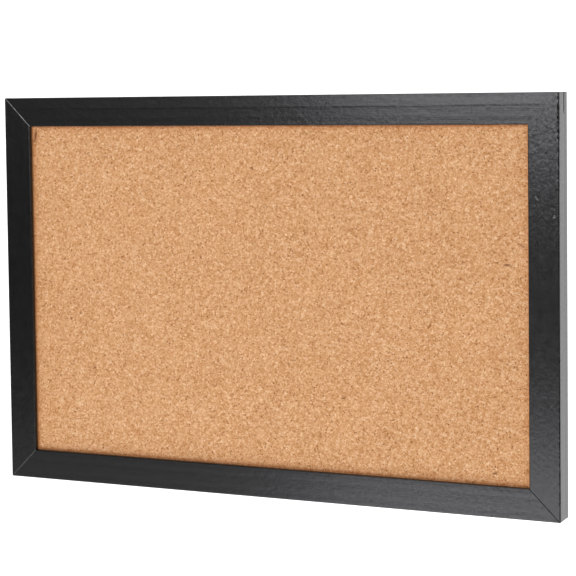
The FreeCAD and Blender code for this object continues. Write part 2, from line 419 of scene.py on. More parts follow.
@dataclass(frozen=True)
class SatinBlackPaint(Finish):
    """Satin black lacquer sprayed on planed softwood; the back of the moulding is left bare.

    The coat levels most of the grain, so the eye sees a soft sheen over a low orange peel and faint
    lengthwise streaks. Beside the mitres the coat is scuffed through to a pale grey ground, and that pale
    line is also a painted highlight. The 'shade' mark is painted shade: it darkens grooves, chips, the glue
    line, the outer side, the outer arris and some dents towards near black and takes their sheen away.
    """

    dark: str = "#121212"
    pale: str = "#191919"
    # Pale grey of the scuffed coat beside the mitres, which is also a painted highlight.
    ground: str = "#c9c7c2"
    shadow: str = "#060606"
    roughness: float = 0.19
    peel_size_mm: float = 2.2
    peel_height_mm: float = 0.045
    sheen: float = 0.4
    mottle_mm: float = 2.3
    tint: str = "#fafaff"
    streak_length_mm: float = 28.0
    streak_width_mm: float = 0.9
    streak_height_mm: float = 0.045
    clouds_per_mm: float = 0.12
    ring_width_mm: float = 4.2
    ring_length_mm: float = 160.0
    wood: tuple[tuple[float, str], ...] = (
        (0.3, "#a9824f"), (0.7, "#dcc091"), (0.48, "#caa670"), (0.55, "#b98d58")
    )
    bare_roughness: float = 0.75
    dulled_sheen: float = 0.02
    patchiness: tuple[float, float] = (0.68, 1.32)

    def material(self) -> bpy.types.Material:
        """Builds the lacquer, the pale mitre lines of scuffed coat and painted highlight, the painted shade
        and the bare back.
        """
        tree, shader, material = self.start()
        uv = add(tree, "ShaderNodeUVMap", uv_map="along").outputs[0]
        place = self.millimetres(tree, uv)
        peel = add(
            tree, "ShaderNodeTexNoise",
            {"Vector": place, "Scale": 1 / self.peel_size_mm, "Detail": 1.0, "Roughness": 0.4},
        )
        stretched = add(
            tree, "ShaderNodeMapping",
            {"Vector": place, "Scale": (1 / self.streak_length_mm, 1 / self.streak_width_mm, 1)},
        )
        streak = add(tree, "ShaderNodeTexNoise", {"Vector": stretched, "Scale": 1.0, "Detail": 3.0})
        cloud = add(tree, "ShaderNodeTexNoise", {"Vector": place, "Scale": self.clouds_per_mm, "Detail": 3.0})
        coat = add(
            tree, "ShaderNodeMix", {0: cloud, 6: linear(self.dark), 7: linear(self.pale)}, data_type="RGBA"
        )
        rings = add(
            tree, "ShaderNodeMapping",
            {"Vector": place, "Scale": (1 / self.ring_length_mm, 1 / self.ring_width_mm, 1)},
        )
        growth = add(
            tree, "ShaderNodeTexNoise", {"Vector": rings, "Scale": 1.0, "Detail": 4.0, "Distortion": 0.6}
        )
        wood = add(tree, "ShaderNodeValToRGB", {0: growth}, stops=self.wood)
        worn = add(tree, "ShaderNodeAttribute", attribute_name="worn").outputs["Fac"]
        bare = add(tree, "ShaderNodeAttribute", attribute_name="bare").outputs["Fac"]
        # The pale ground along the mitres is scuffed coat and also a painted highlight.
        rub_glint = add(
            tree, "ShaderNodeMix", {0: worn, 6: coat.outputs[2], 7: linear(self.ground)}, data_type="RGBA"
        )
        colour = add(tree, "ShaderNodeMix", {0: bare, 6: rub_glint.outputs[2], 7: wood}, data_type="RGBA")
        # Painted shade: the 'shade' mark mixes the colour towards the near-black shadow colour here and takes
        # the sheen away below.
        shade = add(tree, "ShaderNodeAttribute", attribute_name="shade").outputs["Fac"]
        lumpy = add(tree, "ShaderNodeAttribute", attribute_name="lumpy").outputs["Fac"]
        seen = add(
            tree, "ShaderNodeMix", {0: shade, 6: colour.outputs[2], 7: linear(self.shadow)},
            data_type="RGBA",
        )
        mottle = add(
            tree, "ShaderNodeTexNoise",
            {"Vector": place, "Scale": 1 / self.mottle_mm, "Detail": 2.0, "Roughness": 0.6},
        )
        patch = add(
            tree,
            "ShaderNodeMapRange",
            {"Value": mottle, "From Min": 0.3, "From Max": 0.7,
             "To Min": self.patchiness[0], "To Max": self.patchiness[1]},
        )
        uneven = add(tree, "ShaderNodeMix", {0: lumpy, 2: 1.0, 3: patch}, data_type="FLOAT")
        shade_and_dull = add(
            tree, "ShaderNodeMapRange", {"Value": shade, "To Min": self.sheen, "To Max": self.dulled_sheen}
        )
        sheen = add(tree, "ShaderNodeMath", {0: shade_and_dull, 1: uneven}, operation="MULTIPLY")
        exposed = add(tree, "ShaderNodeMath", {0: worn, 1: bare}, operation="MAXIMUM").outputs[0]
        satin = add(
            tree, "ShaderNodeMapRange",
            {"Value": cloud, "To Min": self.roughness - 0.03, "To Max": self.roughness + 0.04},
        )
        rough = add(
            tree, "ShaderNodeMix", {0: exposed, 2: satin, 3: self.bare_roughness}, data_type="FLOAT"
        )
        peel_bump = add(
            tree, "ShaderNodeBump",
            {"Height": peel, "Distance": self.peel_height_mm * MM, "Strength": lumpy},
        )
        bump = add(
            tree,
            "ShaderNodeBump",
            {
                "Height": streak,
                "Distance": self.streak_height_mm * MM,
                "Strength": lumpy,
                "Normal": peel_bump,
            },
        )
        feed(tree, shader, {"Specular IOR Level": self.sheen, "Specular Tint": linear(self.tint)})
        feed(tree, shader, {
            "Base Color": seen.outputs[2], "Roughness": rough, "Normal": bump, "Specular IOR Level": sheen
        })
        return material


@dataclass(frozen=True)
class AgglomeratedCork(Finish):
    """Fine cork granules pressed with binder and sanded flat.

    Each granule has its own tan, a few are dark bark and a few are pale, and the binder between them is a
    little darker. The sanded surface is matt.
    """

    granule_mm: float = 1.5
    crumb_mm: float = 0.85
    dust_mm: float = 0.48
    bark: str = "#6b3d20"
    # Colour of the painted shade beside the frame's lip.
    lip_shade: str = "#dcc0aa"
    warm: str = "#fff9f7"
    tans: tuple[tuple[float, str], ...] = (
        (0.04, "#986235"), (0.96, "#efcfaa"), (0.27, "#bb8656"), (0.5, "#cc9a6b"), (0.74, "#dbb088")
    )
    shares: tuple[float, float, float] = (0.36, 0.38, 0.26)
    warp_mm: float = 1.7
    cloud_mm: float = 26.0
    evenness: tuple[float, float] = (0.875, 0.915)
    dark_crumbs: float = 0.04
    dark_strength: float = 0.85
    grain_mm: float = 0.2
    grain_strength: float = 0.5
    roughness: float = 0.82
    sheen: float = 0.2

    def material(self) -> bpy.types.Material:
        """Builds three sizes of granule, bark specks, the painted shade beside the frame's lip and the matt
        sanded surface.
        """
        tree, shader, material = self.start()
        place = self.millimetres(tree, add(tree, "ShaderNodeTexCoord").outputs["Object"])
        warp = add(tree, "ShaderNodeTexNoise", {"Vector": place, "Scale": 1 / self.warp_mm, "Detail": 2.0})
        bent = add(
            tree, "ShaderNodeVectorMath", {0: warp.outputs[1], 1: (1.0, 1.0, 1.0), 2: place},
            operation="MULTIPLY_ADD",
        ).outputs[0]
        cells = [
            add(tree, "ShaderNodeTexVoronoi", {"Vector": bent, "Scale": 1 / size, "Randomness": 1.0})
            for size in (self.granule_mm, self.crumb_mm, self.dust_mm)
        ]
        tones = [
            add(tree, "ShaderNodeSeparateColor", {0: cell.outputs["Color"]}).outputs[0] for cell in cells
        ]
        tone = 0.0
        for part, share in zip(tones, self.shares):
            summed = add(tree, "ShaderNodeMath", {0: part, 1: share, 2: tone}, operation="MULTIPLY_ADD")
            tone = summed.outputs[0]
        tan = add(tree, "ShaderNodeValToRGB", {0: tone}, stops=self.tans)
        cloud = add(tree, "ShaderNodeTexNoise", {"Vector": place, "Scale": 1 / self.cloud_mm, "Detail": 3.0})
        shade = add(
            tree,
            "ShaderNodeMapRange",
            {"Value": cloud, "From Min": 0.3, "From Max": 0.7,
             "To Min": self.evenness[0], "To Max": self.evenness[1]},
        )
        warmth = add(tree, "ShaderNodeSeparateColor", {0: cells[0].outputs["Color"]}).outputs[2]
        warmed = add(
            tree, "ShaderNodeMix", {0: warmth, 6: tan, 7: linear(self.warm)}, data_type="RGBA",
            blend_type="MULTIPLY",
        )
        # Painted shade: the 'edge' mark darkens the cork towards the frame's lip, where the lip shades it.
        edge = add(tree, "ShaderNodeAttribute", attribute_name="edge").outputs["Fac"]
        lip_shaded = add(
            tree, "ShaderNodeMix", {0: edge, 6: warmed.outputs[2], 7: linear(self.lip_shade)},
            data_type="RGBA", blend_type="MULTIPLY",
        )
        tinted = add(tree, "ShaderNodeVectorMath", {0: lip_shaded.outputs[2], 3: shade}, operation="SCALE")
        speck = add(
            tree,
            "ShaderNodeMapRange",
            {"Value": tones[1], "From Min": self.dark_crumbs, "From Max": 0.0,
             "To Min": 0.0, "To Max": self.dark_strength},
        )
        streak = add(tree, "ShaderNodeAttribute", attribute_name="bark").outputs["Fac"]
        dark = add(tree, "ShaderNodeMath", {0: speck, 1: streak}, operation="MAXIMUM").outputs[0]
        colour = add(tree, "ShaderNodeMix", {0: dark, 6: tinted, 7: linear(self.bark)}, data_type="RGBA")
        bump = add(
            tree, "ShaderNodeBump",
            {"Height": tone, "Distance": self.grain_mm * MM, "Strength": self.grain_strength},
        )
        feed(tree, shader, {
            "Base Color": colour.outputs[2],
            "Normal": bump,
            "Roughness": self.roughness,
            "Specular IOR Level": self.sheen,
        })
        return material


@dataclass(frozen=True)
class PressedFibre(Finish):
    """Wood fibre pressed into board: loose and pale in softboard, dense and brown in hardboard.

    The hardboard's back keeps the print of the wire screen that it was pressed on.
    """

    dark: str
    pale: str
    fibre_mm: float
    screen_mm: float
    relief_mm: float
    roughness: float
    blotch_mm: float = 18.0
    sheen: float = 0.3

    def material(self) -> bpy.types.Material:
        """Builds the fibres and the screen's print."""
        tree, shader, material = self.start()
        place = self.millimetres(tree, add(tree, "ShaderNodeTexCoord").outputs["Object"])
        fibre = add(
            tree, "ShaderNodeTexNoise",
            {"Vector": place, "Scale": 1 / self.fibre_mm, "Detail": 6.0, "Distortion": 0.5},
        )
        blotch = add(
            tree, "ShaderNodeTexNoise", {"Vector": place, "Scale": 1 / self.blotch_mm, "Detail": 3.0}
        )
        mixed = add(tree, "ShaderNodeMath", {0: blotch, 1: 0.45, 2: fibre}, operation="MULTIPLY_ADD")
        colour = add(tree, "ShaderNodeValToRGB", {0: mixed}, stops=((0.5, self.dark), (0.95, self.pale)))
        across, along = (
            add(
                tree, "ShaderNodeTexWave",
                {"Vector": place, "Scale": math.pi / (10 * self.screen_mm), "Distortion": 0.4},
                bands_direction=direction,
            ).outputs[0]
            for direction in ("X", "Z")
        )
        screen = add(tree, "ShaderNodeMath", {0: across, 1: along}, operation="MULTIPLY").outputs[0]
        height = add(
            tree, "ShaderNodeMath", {0: fibre, 1: 0.5, 2: screen}, operation="MULTIPLY_ADD"
        ).outputs[0]
        bump = add(
            tree, "ShaderNodeBump", {"Height": height, "Distance": self.relief_mm * MM, "Strength": 1.0}
        )
        feed(tree, shader, {
            "Base Color": colour,
            "Normal": bump,
            "Roughness": self.roughness,
            "Specular IOR Level": self.sheen,
        })
        return material


@dataclass(frozen=True)
class PlatedSteel(Finish):
    """Steel strip or wire under a thin bright plate.

    The plate is a little uneven and carries fine handling scratches, so highlights break up along them.
    """

    colour: str
    stain: str
    roughness: float
    scratch_mm: float = 0.25
    scratch_length_mm: float = 6.0
    cloud_mm: float = 2.2
    scratch_depth_mm: float = 0.004

    def material(self) -> bpy.types.Material:
        """Builds the plate, its cloudiness and its scratches."""
        tree, shader, material = self.start()
        place = self.millimetres(tree, add(tree, "ShaderNodeTexCoord").outputs["Object"])
        thin, long = 1 / self.scratch_mm, 1 / self.scratch_length_mm
        drawn = add(tree, "ShaderNodeMapping", {"Vector": place, "Scale": (thin, thin, long)})
        scratch = add(tree, "ShaderNodeTexNoise", {"Vector": drawn, "Scale": 1.0, "Detail": 4.0})
        cloud = add(tree, "ShaderNodeTexNoise", {"Vector": place, "Scale": 1 / self.cloud_mm, "Detail": 3.0})
        tint = add(tree, "ShaderNodeValToRGB", {0: cloud}, stops=((0.35, self.stain), (0.62, self.colour)))
        rough = add(
            tree, "ShaderNodeMapRange",
            {"Value": scratch, "To Min": self.roughness * 0.7, "To Max": self.roughness * 1.4},
        )
        bump = add(
            tree, "ShaderNodeBump",
            {"Height": scratch, "Distance": self.scratch_depth_mm * MM, "Strength": 1.0},
        )
        feed(tree, shader, {"Base Color": tint, "Roughness": rough, "Normal": bump, "Metallic": 1.0})
        return material


@dataclass(frozen=True)
class MouldedRubber(Finish):
    """Black rubber moulded in a sparked tool: matt, with a fine even grain and a little dust."""

    colour: str = "#1d1d1e"
    dust: str = "#3a3836"
    grain_mm: float = 0.35
    grain_depth_mm: float = 0.02
    dust_mm: float = 3.0
    roughness: float = 0.62

    def material(self) -> bpy.types.Material:
        """Builds the rubber's grain and dust."""
        tree, shader, material = self.start()
        place = self.millimetres(tree, add(tree, "ShaderNodeTexCoord").outputs["Object"])
        grain = add(tree, "ShaderNodeTexNoise", {"Vector": place, "Scale": 1 / self.grain_mm, "Detail": 2.0})
        cloud = add(tree, "ShaderNodeTexNoise", {"Vector": place, "Scale": 1 / self.dust_mm, "Detail": 4.0})
        colour = add(tree, "ShaderNodeValToRGB", {0: cloud}, stops=((0.45, self.colour), (0.8, self.dust)))
        bump = add(
            tree, "ShaderNodeBump", {"Height": grain, "Distance": self.grain_depth_mm * MM, "Strength": 1.0}
        )
        feed(tree, shader, {"Base Color": colour, "Normal": bump, "Roughness": self.roughness})
        return material


# ---------------------------------------------------------------- frame


class Zone(IntEnum):
    """The stretches of the moulding's outline, in order round it."""

    FACE = 0
    INNER_ARRIS = 1
    LIP_EDGE = 2
    LIP_BACK = 3
    RABBET = 4
    BACK = 5
    BACK_ARRIS = 6
    OUTER_SIDE = 7
    OUTER_ARRIS = 8


PAINTED = (Zone.FACE, Zone.INNER_ARRIS, Zone.LIP_EDGE, Zone.OUTER_SIDE, Zone.OUTER_ARRIS)
NEAR_FACE = (Zone.FACE, Zone.INNER_ARRIS, Zone.OUTER_ARRIS)
NEAR_OUTER_EDGE = (Zone.FACE, Zone.OUTER_ARRIS, Zone.OUTER_SIDE)


@dataclass(frozen=True)
class Mitre:
    """How one mitre has closed on the painted face.

    Attributes:
        gap: Width of the open line between the two members.
        softness: Rounding of each member's edge along it.
        rub_glint_rail: How strong the pale line on the rail's edge is, from 0 to 1: coat scuffed through and
            a painted highlight.
        rub_glint_stile: The same on the stile's edge.
    """

    gap: float
    softness: float
    rub_glint_rail: float
    rub_glint_stile: float


@dataclass(frozen=True)
class Nick:
    """A small dent in the painted face.

    Attributes:
        along: Place along the member, from its middle.
        inward: Distance from the member's outer edge.
        length: Length of the dent.
        width: Width of the dent.
        angle: Its direction from the member's own, in degrees.
        depth: How deep it is.
        blackened: Whether the dent is painted black.
    """

    along: float
    inward: float
    length: float
    width: float
    angle: float
    depth: float
    blackened: bool = False


@dataclass
class Moulding:
    """The section that all four members share, taken from the frame's boxes.

    Attributes:
        front: Row y of the painted face.
        face_width: Width of the painted face.
        solid_width: Width of the wood behind the lip.
        lip_back: Row y of the lip's back, where the cork starts.
        front_arris: Radius of the two front edges.
        back_arris: Radius of the outer back edge.
        pitch: Distance between the points of its straight stretches.
        split_depth: Row y of the glue line that shows on the outer side.
        split_steps: Places beside the glue line that need points of their own, in millimetres.
    """

    front: float
    face_width: float
    solid_width: float
    lip_back: float
    front_arris: float = 0.7 * MM
    back_arris: float = 0.4 * MM
    pitch: float = 1.0 * MM
    split_depth: float = -8.2 * MM
    split_steps: tuple[float, ...] = (-0.9, -0.6, -0.4, -0.2, 0.0, 0.2, 0.4, 0.6, 0.9)

    def outline(self, extra_inward: Sequence[float]) -> list[tuple[float, float, float, float, Zone]]:
        """The closed outline with outward normals.

        Args:
            extra_inward: Places across the face that need points of their own.

        Returns:
            Inward distance, row y, the two parts of the normal, and the zone of each point.
        """
        arris, back, width = self.front_arris, self.back_arris, self.face_width
        points: list[tuple[float, float, float, float, Zone]] = []

        def straight(start: float, end: float, pitch: float, extra: Iterable[float] = ()) -> list[float]:
            """Evenly spaced places from start up to but not including end, with extras."""
            count = max(1, round(abs(end - start) / pitch))
            places = [start + (end - start) * i / count for i in range(count)]
            low, high = min(start, end), max(start, end)
            places += [p for p in extra if low + 0.05 * MM < p < high - 0.05 * MM]
            return sorted(places, reverse=end < start)

        def arc(centre: tuple[float, float], radius: float, first: float, steps: int, zone: Zone) -> None:
            """A quarter turn, without its last point."""
            for i in range(steps):
                angle = math.radians(first + 90 * i / steps)
                across, out = math.sin(angle), -math.cos(angle)
                points.append((centre[0] + radius * across, centre[1] + radius * out, across, out, zone))

        near_edges = [arris + step * MM for step in (0.3, 0.6)]
        near_edges += [width - arris - step * MM for step in (0.3, 0.6)]
        for s in straight(arris, width - arris, self.pitch, list(extra_inward) + near_edges):
            points.append((s, self.front, 0.0, -1.0, Zone.FACE))
        arc((width - arris, self.front + arris), arris, 0, 6, Zone.INNER_ARRIS)
        for y in straight(self.front + arris, self.lip_back, self.pitch):
            points.append((width, y, 1.0, 0.0, Zone.LIP_EDGE))
        for s in straight(width, self.solid_width, 2 * self.pitch):
            points.append((s, self.lip_back, 0.0, 1.0, Zone.LIP_BACK))
        for y in straight(self.lip_back, 0.0, 2 * self.pitch):
            points.append((self.solid_width, y, 1.0, 0.0, Zone.RABBET))
        for s in straight(self.solid_width, back, 2 * self.pitch):
            points.append((s, 0.0, 0.0, 1.0, Zone.BACK))
        arc((back, -back), back, 180, 4, Zone.BACK_ARRIS)
        split = [self.split_depth + step * MM for step in self.split_steps]
        for y in straight(-back, self.front + arris, self.pitch, split):
            points.append((0.0, y, -1.0, 0.0, Zone.OUTER_SIDE))
        arc((arris, self.front + arris), arris, 270, 7, Zone.OUTER_ARRIS)
        return points


@dataclass(frozen=True)
class Relief:
    """The low relief of the painted wood, the same on every member.

    Attributes:
        base: Depth that the rest rises and falls about.
        waves: Wavelength across the face, and height, of each set of grain lines.
        swell: Length over which the grain lines swell and fade.
        wander: How far they wander to the side, and over what length.
        crest: Height of the raised line, its distance from its own edge, and its width.
        crest_steps: Places beside that line that need points of their own, in millimetres.
        drop: Depth of the step inside that line, the step's run, and how far the hollow reaches.
        outer_fall: Fall of the face from the raised line to the outer edge.
        strength: Share of the raised line that always shows, what a swell adds, and the least.
        fade: Where along the member the line starts to fade, and what it loses in a metre.
        grain: Length and width of the coat's long lumps.
        pebbles: Length and width of its short ones.
        coat: Height of both on the coarsest coat.
        side: Depth, height and wavelength of the streaks on the outer side, and their drift.
    """

    base: float = 0.04 * MM
    waves: tuple[tuple[float, float], ...] = (
        (2.9 * MM, 0.0014 * MM), (5.3 * MM, 0.003 * MM), (9.1 * MM, 0.005 * MM)
    )
    swell: float = 90 * MM
    wander: tuple[float, float] = (0.5 * MM, 60 * MM)
    crest: tuple[float, float, float] = (0.028 * MM, 0.7 * MM, 0.8 * MM)
    crest_steps: tuple[float, ...] = (-1.5, -1.1, -0.7, -0.3, 0.0, 0.25, 0.5, 0.75, 1.1)
    drop: tuple[float, float, float] = (0.022 * MM, 1.2 * MM, 4.5 * MM)
    outer_fall: float = 0.13 * MM
    strength: tuple[float, float, float] = (0.65, 0.45, 0.25)
    fade: tuple[float, float] = (90 * MM, 5.0)
    grain: tuple[float, float] = (9 * MM, 2.1 * MM)
    pebbles: tuple[float, float] = (2.8 * MM, 2.0 * MM)
    coat: float = 0.022 * MM
    side: tuple[float, float, float, float] = (0.01 * MM, 0.004 * MM, 3.7 * MM, 70 * MM)


@dataclass(frozen=True)
class Wear:
    """Chips, the open glue line, grooves, the pale mitre lines of scuffed coat and painted highlight, and
    painted shade, the same on every member.

    Attributes:
        tooth: Length of one tooth of a chipped edge.
        chip_reach: How far a chip reaches across the face, and down the outer side.
        chip_shoulder: How far down the side a chip is at its full depth.
        chip_fade: Length over which a rough stretch gives way to a sound one.
        chip_depth: Depth of the teeth on a sound edge, and what a rough one adds.
        line: Width of the glue line, its depth where it is shut, and what it gains where open.
        line_end: Length over which the open stretch shuts.
        groove: Depth of an open mitre.
        rounding: Depth of a mitre's rounded edge, as a share of its softness.
        rub_glint_reach: How far from a mitre the pale line of scuffed coat and painted highlight reaches.
        rub_glint_patch: Size of the patches along that pale line.
        side_shade: How much painted shade darkens and dulls the outer side, and what it gains beyond a split.
        shade_and_dull: Depths of chip and of groove at which the painted shade is full and the sheen is gone.
        ragged: Length over which the coat's edge on the back wanders.
        corner: Length of the patches of painted shade on the outer arris.
    """

    tooth: float = 1.3 * MM
    chip_reach: tuple[float, float] = (0.45 * MM, 0.5 * MM)
    chip_shoulder: float = 0.9 * MM
    chip_fade: float = 4 * MM
    chip_depth: tuple[float, float] = (0.06 * MM, 0.5 * MM)
    line: tuple[float, float, float] = (0.45 * MM, 0.05 * MM, 0.6 * MM)
    line_end: float = 3 * MM
    groove: float = 1.2 * MM
    rounding: float = 0.6
    rub_glint_reach: float = 0.3 * MM
    rub_glint_patch: float = 1.1 * MM
    side_shade: tuple[float, float] = (0.32, 0.07)
    shade_and_dull: tuple[float, float] = (0.22 * MM, 0.3 * MM)
    ragged: float = 3 * MM
    corner: float = 7 * MM


@dataclass
class Skin:
    """The grid of points that a member is swept through: a row for each station.

    Attributes:
        along: Place of each point along the member.
        to_mitre: Distance of each point from the nearer mitre.
        inward: Distance of the outline's points from the outer edge, as one row.
        depth: Row y of the outline's points, as one row.
        zones: Zone of the outline's points.
    """

    along: np.ndarray
    to_mitre: np.ndarray
    inward: np.ndarray
    depth: np.ndarray
    zones: np.ndarray

    @property
    def mitre(self) -> np.ndarray:
        """0 where the start's mitre is the nearer one, and 1 elsewhere."""
        return np.where(self.along < 0, 0, 1)

    @property
    def wide(self) -> np.ndarray:
        """Distance of every point from the outer edge."""
        return np.broadcast_to(self.inward, self.along.shape)

    def on(self, *zones: Zone) -> np.ndarray:
        """Which of the outline's points lie in any of the zones."""
        return np.isin(self.zones, zones)


@dataclass
class FrameMember:
    """One mitred length of the moulding, drawn as the top one and turned about Y.

    Attributes:
        node: The frame node that it stands for.
        section: The shared moulding.
        length: Over its outer edge.
        outer: Distance of its outer edge from the board's middle.
        turn: Turn about Y from the top position, in degrees.
        start: The mitre at its left end in the top position.
        end: The mitre at its right end.
        is_rail: Whether it lies across, and so takes the rail's share of a mitre's pale line of scuffed coat
            and painted highlight.
        seed: Makes its grain its own.
        ridge: Distance of a raised grain line from the outer edge, or None.
        nicks: Dents in the face.
        chipped: Length of rough outer arris from its start.
        split: Length of the open glue line on the outer side from its start.
        lumpy: How coarse the coat is at the start and at the end, from 0 to 1.
        arris_shade: How much painted shade darkens and dulls the outer front edge, from 0 to 1.
        relief: The low relief of its wood and coat.
        wear: Its chips, splits and rubbed edges.
        station_pitch: Distance between stations.
        end_steps: Distances of the stations next to a mitre from that mitre, in millimetres.
    """

    node: str
    section: Moulding
    length: float
    outer: float
    turn: int
    start: Mitre
    end: Mitre
    is_rail: bool
    seed: int
    ridge: float | None = None
    nicks: tuple[Nick, ...] = ()
    chipped: float = 0.0
    split: float = 0.0
    lumpy: tuple[float, float] = (0.75, 0.75)
    arris_shade: float = 0.0
    relief: Relief = Relief()
    wear: Wear = Wear()
    station_pitch: float = 0.95 * MM
    end_steps: tuple[float, ...] = (0.0, 0.12, 0.25, 0.4, 0.6, 0.9, 1.4, 2.2)

    def stations(self) -> list[tuple[float, float]]:
        """Places along the member.

        Returns:
            For each place, a share from -1 to 1 of the length between the end zones, and how far it
            stands past that length's end.
        """
        zone = self.end_steps[-1] * MM
        half = self.length / 2 - zone
        count = round(2 * half / self.station_pitch)
        shares = {round(-1 + 2 * i / count, 6) for i in range(count + 1)}
        for nick in self.nicks:
            reach = nick.length / 2 + nick.width
            for i in range(-8, 9):
                shares.add(round((nick.along + reach * i / 8) / (half - nick.inward), 6))
        ends = [zone - step * MM for step in self.end_steps[:-1]]
        middle = [(share, 0.0) for share in sorted(shares)]
        return [(-1.0, past) for past in ends] + middle + [(1.0, past) for past in reversed(ends)]

    def places(self, inward: np.ndarray) -> np.ndarray:
        """Place along the member of points at every station.

        Args:
            inward: Their distances from the outer edge.

        Returns:
            A row for each station.
        """
        shares, past = (np.array(column)[:, None] for column in zip(*self.stations()))
        span = self.length / 2 - inward - self.end_steps[-1] * MM
        return shares * span + np.sign(shares) * past

    def coarseness(self, along: np.ndarray) -> np.ndarray:
        """How coarse the coat is at each place along the member."""
        share = np.clip(along / self.length + 0.5, 0, 1)
        return self.lumpy[0] + (self.lumpy[1] - self.lumpy[0]) * share

    def face_relief(self, along: np.ndarray, inward: np.ndarray) -> np.ndarray:
        """How far the painted face lies below its plane.

        Args:
            along: Place along the member of each point.
            inward: Distance of each point from the outer edge.

        Returns:
            Depth in metres, never negative.
        """
        relief = self.relief
        swell = 0.5 + 0.5 * drift(along, relief.swell, self.seed)
        wander = relief.wander[0] * drift(along, relief.wander[1], self.seed + 1)
        depth = np.full(along.shape, relief.base)
        for number, (wave, height) in enumerate(relief.waves):
            phase = 2.1 * (self.seed + number)
            depth += height * (1 + swell) * np.sin(2 * math.pi * (inward + wander) / wave + phase)
        if self.ridge is not None:
            past = inward - self.ridge - 0.4 * wander
            outer_slope = np.clip(-past / self.ridge, 0, 1)
            crest = relief.crest[0] * bell(past + relief.crest[1], relief.crest[2])
            step = ease(np.clip(past / relief.drop[1], 0, 1))
            drop = relief.drop[0] * step * np.exp(-beyond(past) / relief.drop[2])
            least = relief.strength[2]
            faded = relief.fade[1] * beyond(along - relief.fade[0])
            strength = np.clip(relief.strength[0] + relief.strength[1] * swell - faded, least, 1)
            depth += relief.outer_fall * outer_slope + strength * (drop - crest)
        grain = 0.5 * lumps(along, inward, relief.grain, self.seed + 50)
        pebbles = lumps(along, inward, relief.pebbles, self.seed + 60)
        depth += relief.coat * self.coarseness(along) * (grain + pebbles + 1)
        for nick in self.nicks:
            lengthwise, crosswise = turned(along - nick.along, inward - nick.inward, nick.angle)
            depth += nick.depth * np.clip(1 - oval(lengthwise, crosswise, nick.length, nick.width), 0, 1)
        return np.clip(depth, 0, None)

    def mitre_cut(self, skin: Skin) -> tuple[np.ndarray, np.ndarray]:
        """The mitres' rounded edges and open lines.

        Args:
            skin: The member's points.

        Returns:
            Depth of the rounding and of the groove at each point.
        """
        gap, soft = (
            np.where(skin.mitre == 0, getattr(self.start, key), getattr(self.end, key))
            for key in ("gap", "softness")
        )
        rounding = np.clip(1 - (skin.to_mitre - gap / 2) / soft, 0, 1) ** 2 * soft * self.wear.rounding
        open_share = np.clip(1 - skin.to_mitre / np.maximum(gap / 2, 1e-9), 0, 1)
        return rounding, open_share * self.wear.groove * (gap > 0)

    def chips(self, skin: Skin) -> np.ndarray:
        """Depth of the teeth along the outer front edge at each point."""
        if not self.chipped:
            return np.zeros(skin.along.shape)
        wear = self.wear
        from_start = skin.along + self.length / 2
        rough = 1 / (1 + np.exp((from_start - self.chipped) / wear.chip_fade))
        teeth = np.clip(drift(skin.along, wear.tooth, self.seed + 9) + 0.15, 0, 1)
        edge = bell(beyond(skin.inward - self.section.front_arris), wear.chip_reach[0])
        down = beyond(skin.depth - self.section.front - wear.chip_shoulder)
        edge = edge * bell(down, wear.chip_reach[1]) * skin.on(*NEAR_OUTER_EDGE)
        return edge * teeth * (wear.chip_depth[0] + wear.chip_depth[1] * rough)

    def rub_glint(self, skin: Skin) -> np.ndarray:
        """How strong the pale line beside the mitres is, from 0 to 1: coat scuffed through and a painted
        highlight.
        """
        total = np.zeros(skin.along.shape)
        for index, joint in enumerate((self.start, self.end)):
            amount = joint.rub_glint_rail if self.is_rail else joint.rub_glint_stile
            patchy = 0.75 + 0.25 * drift(skin.wide, self.wear.rub_glint_patch, self.seed + 20 + index)
            fade = bell(beyond(skin.to_mitre - joint.gap / 2), self.wear.rub_glint_reach)
            total += np.where(skin.mitre == index, amount * patchy * fade, 0)
        return np.clip(total * skin.on(*NEAR_FACE), 0, 1)

    def bare(self, skin: Skin) -> np.ndarray:
        """Where the coat ends and the wood is bare, from 0 to 1."""
        ragged = 0.5 + 0.5 * drift(skin.along, self.wear.ragged, self.seed + 30)
        return np.where(skin.on(Zone.BACK_ARRIS), ragged, np.where(skin.on(*PAINTED), 0.0, 1.0))

    def edge_shade(self, skin: Skin) -> np.ndarray:
        """How much painted shade the outer front edge takes, and where the blackened dents are."""
        dull = np.zeros(skin.along.shape)
        if self.arris_shade:
            patchy = 0.8 + 0.2 * drift(skin.along, self.wear.corner, self.seed + 40)
            dull = dull + skin.on(Zone.OUTER_ARRIS) * self.arris_shade * patchy
        for nick in self.nicks:
            if nick.blackened:
                away = (skin.along - nick.along) ** 2 + (skin.wide - nick.inward) ** 2
                dull = dull + (away < (0.6 * nick.length) ** 2) * skin.on(Zone.FACE)
        return dull

    def build(self) -> bpy.types.Object:
        """Sweeps the section, sinks the relief and marks bare wood, the pale mitre lines of scuffed coat and
        painted highlight, and painted shade.

        Returns:
            The closed member in the board's place.
        """
        extra = [n.inward + n.width * i / 4 for n in self.nicks for i in range(-4, 5)]
        if self.ridge is not None:
            extra += [self.ridge + step * MM for step in self.relief.crest_steps]
        outline = self.section.outline(extra)
        inward, depth, across, out = (np.array([[p[i] for p in outline]]) for i in range(4))
        along = self.places(inward)
        to_mitre = (self.length / 2 - inward - np.abs(along)) / math.sqrt(2)
        skin = Skin(along, to_mitre, inward, depth, np.array([p[4] for p in outline]))

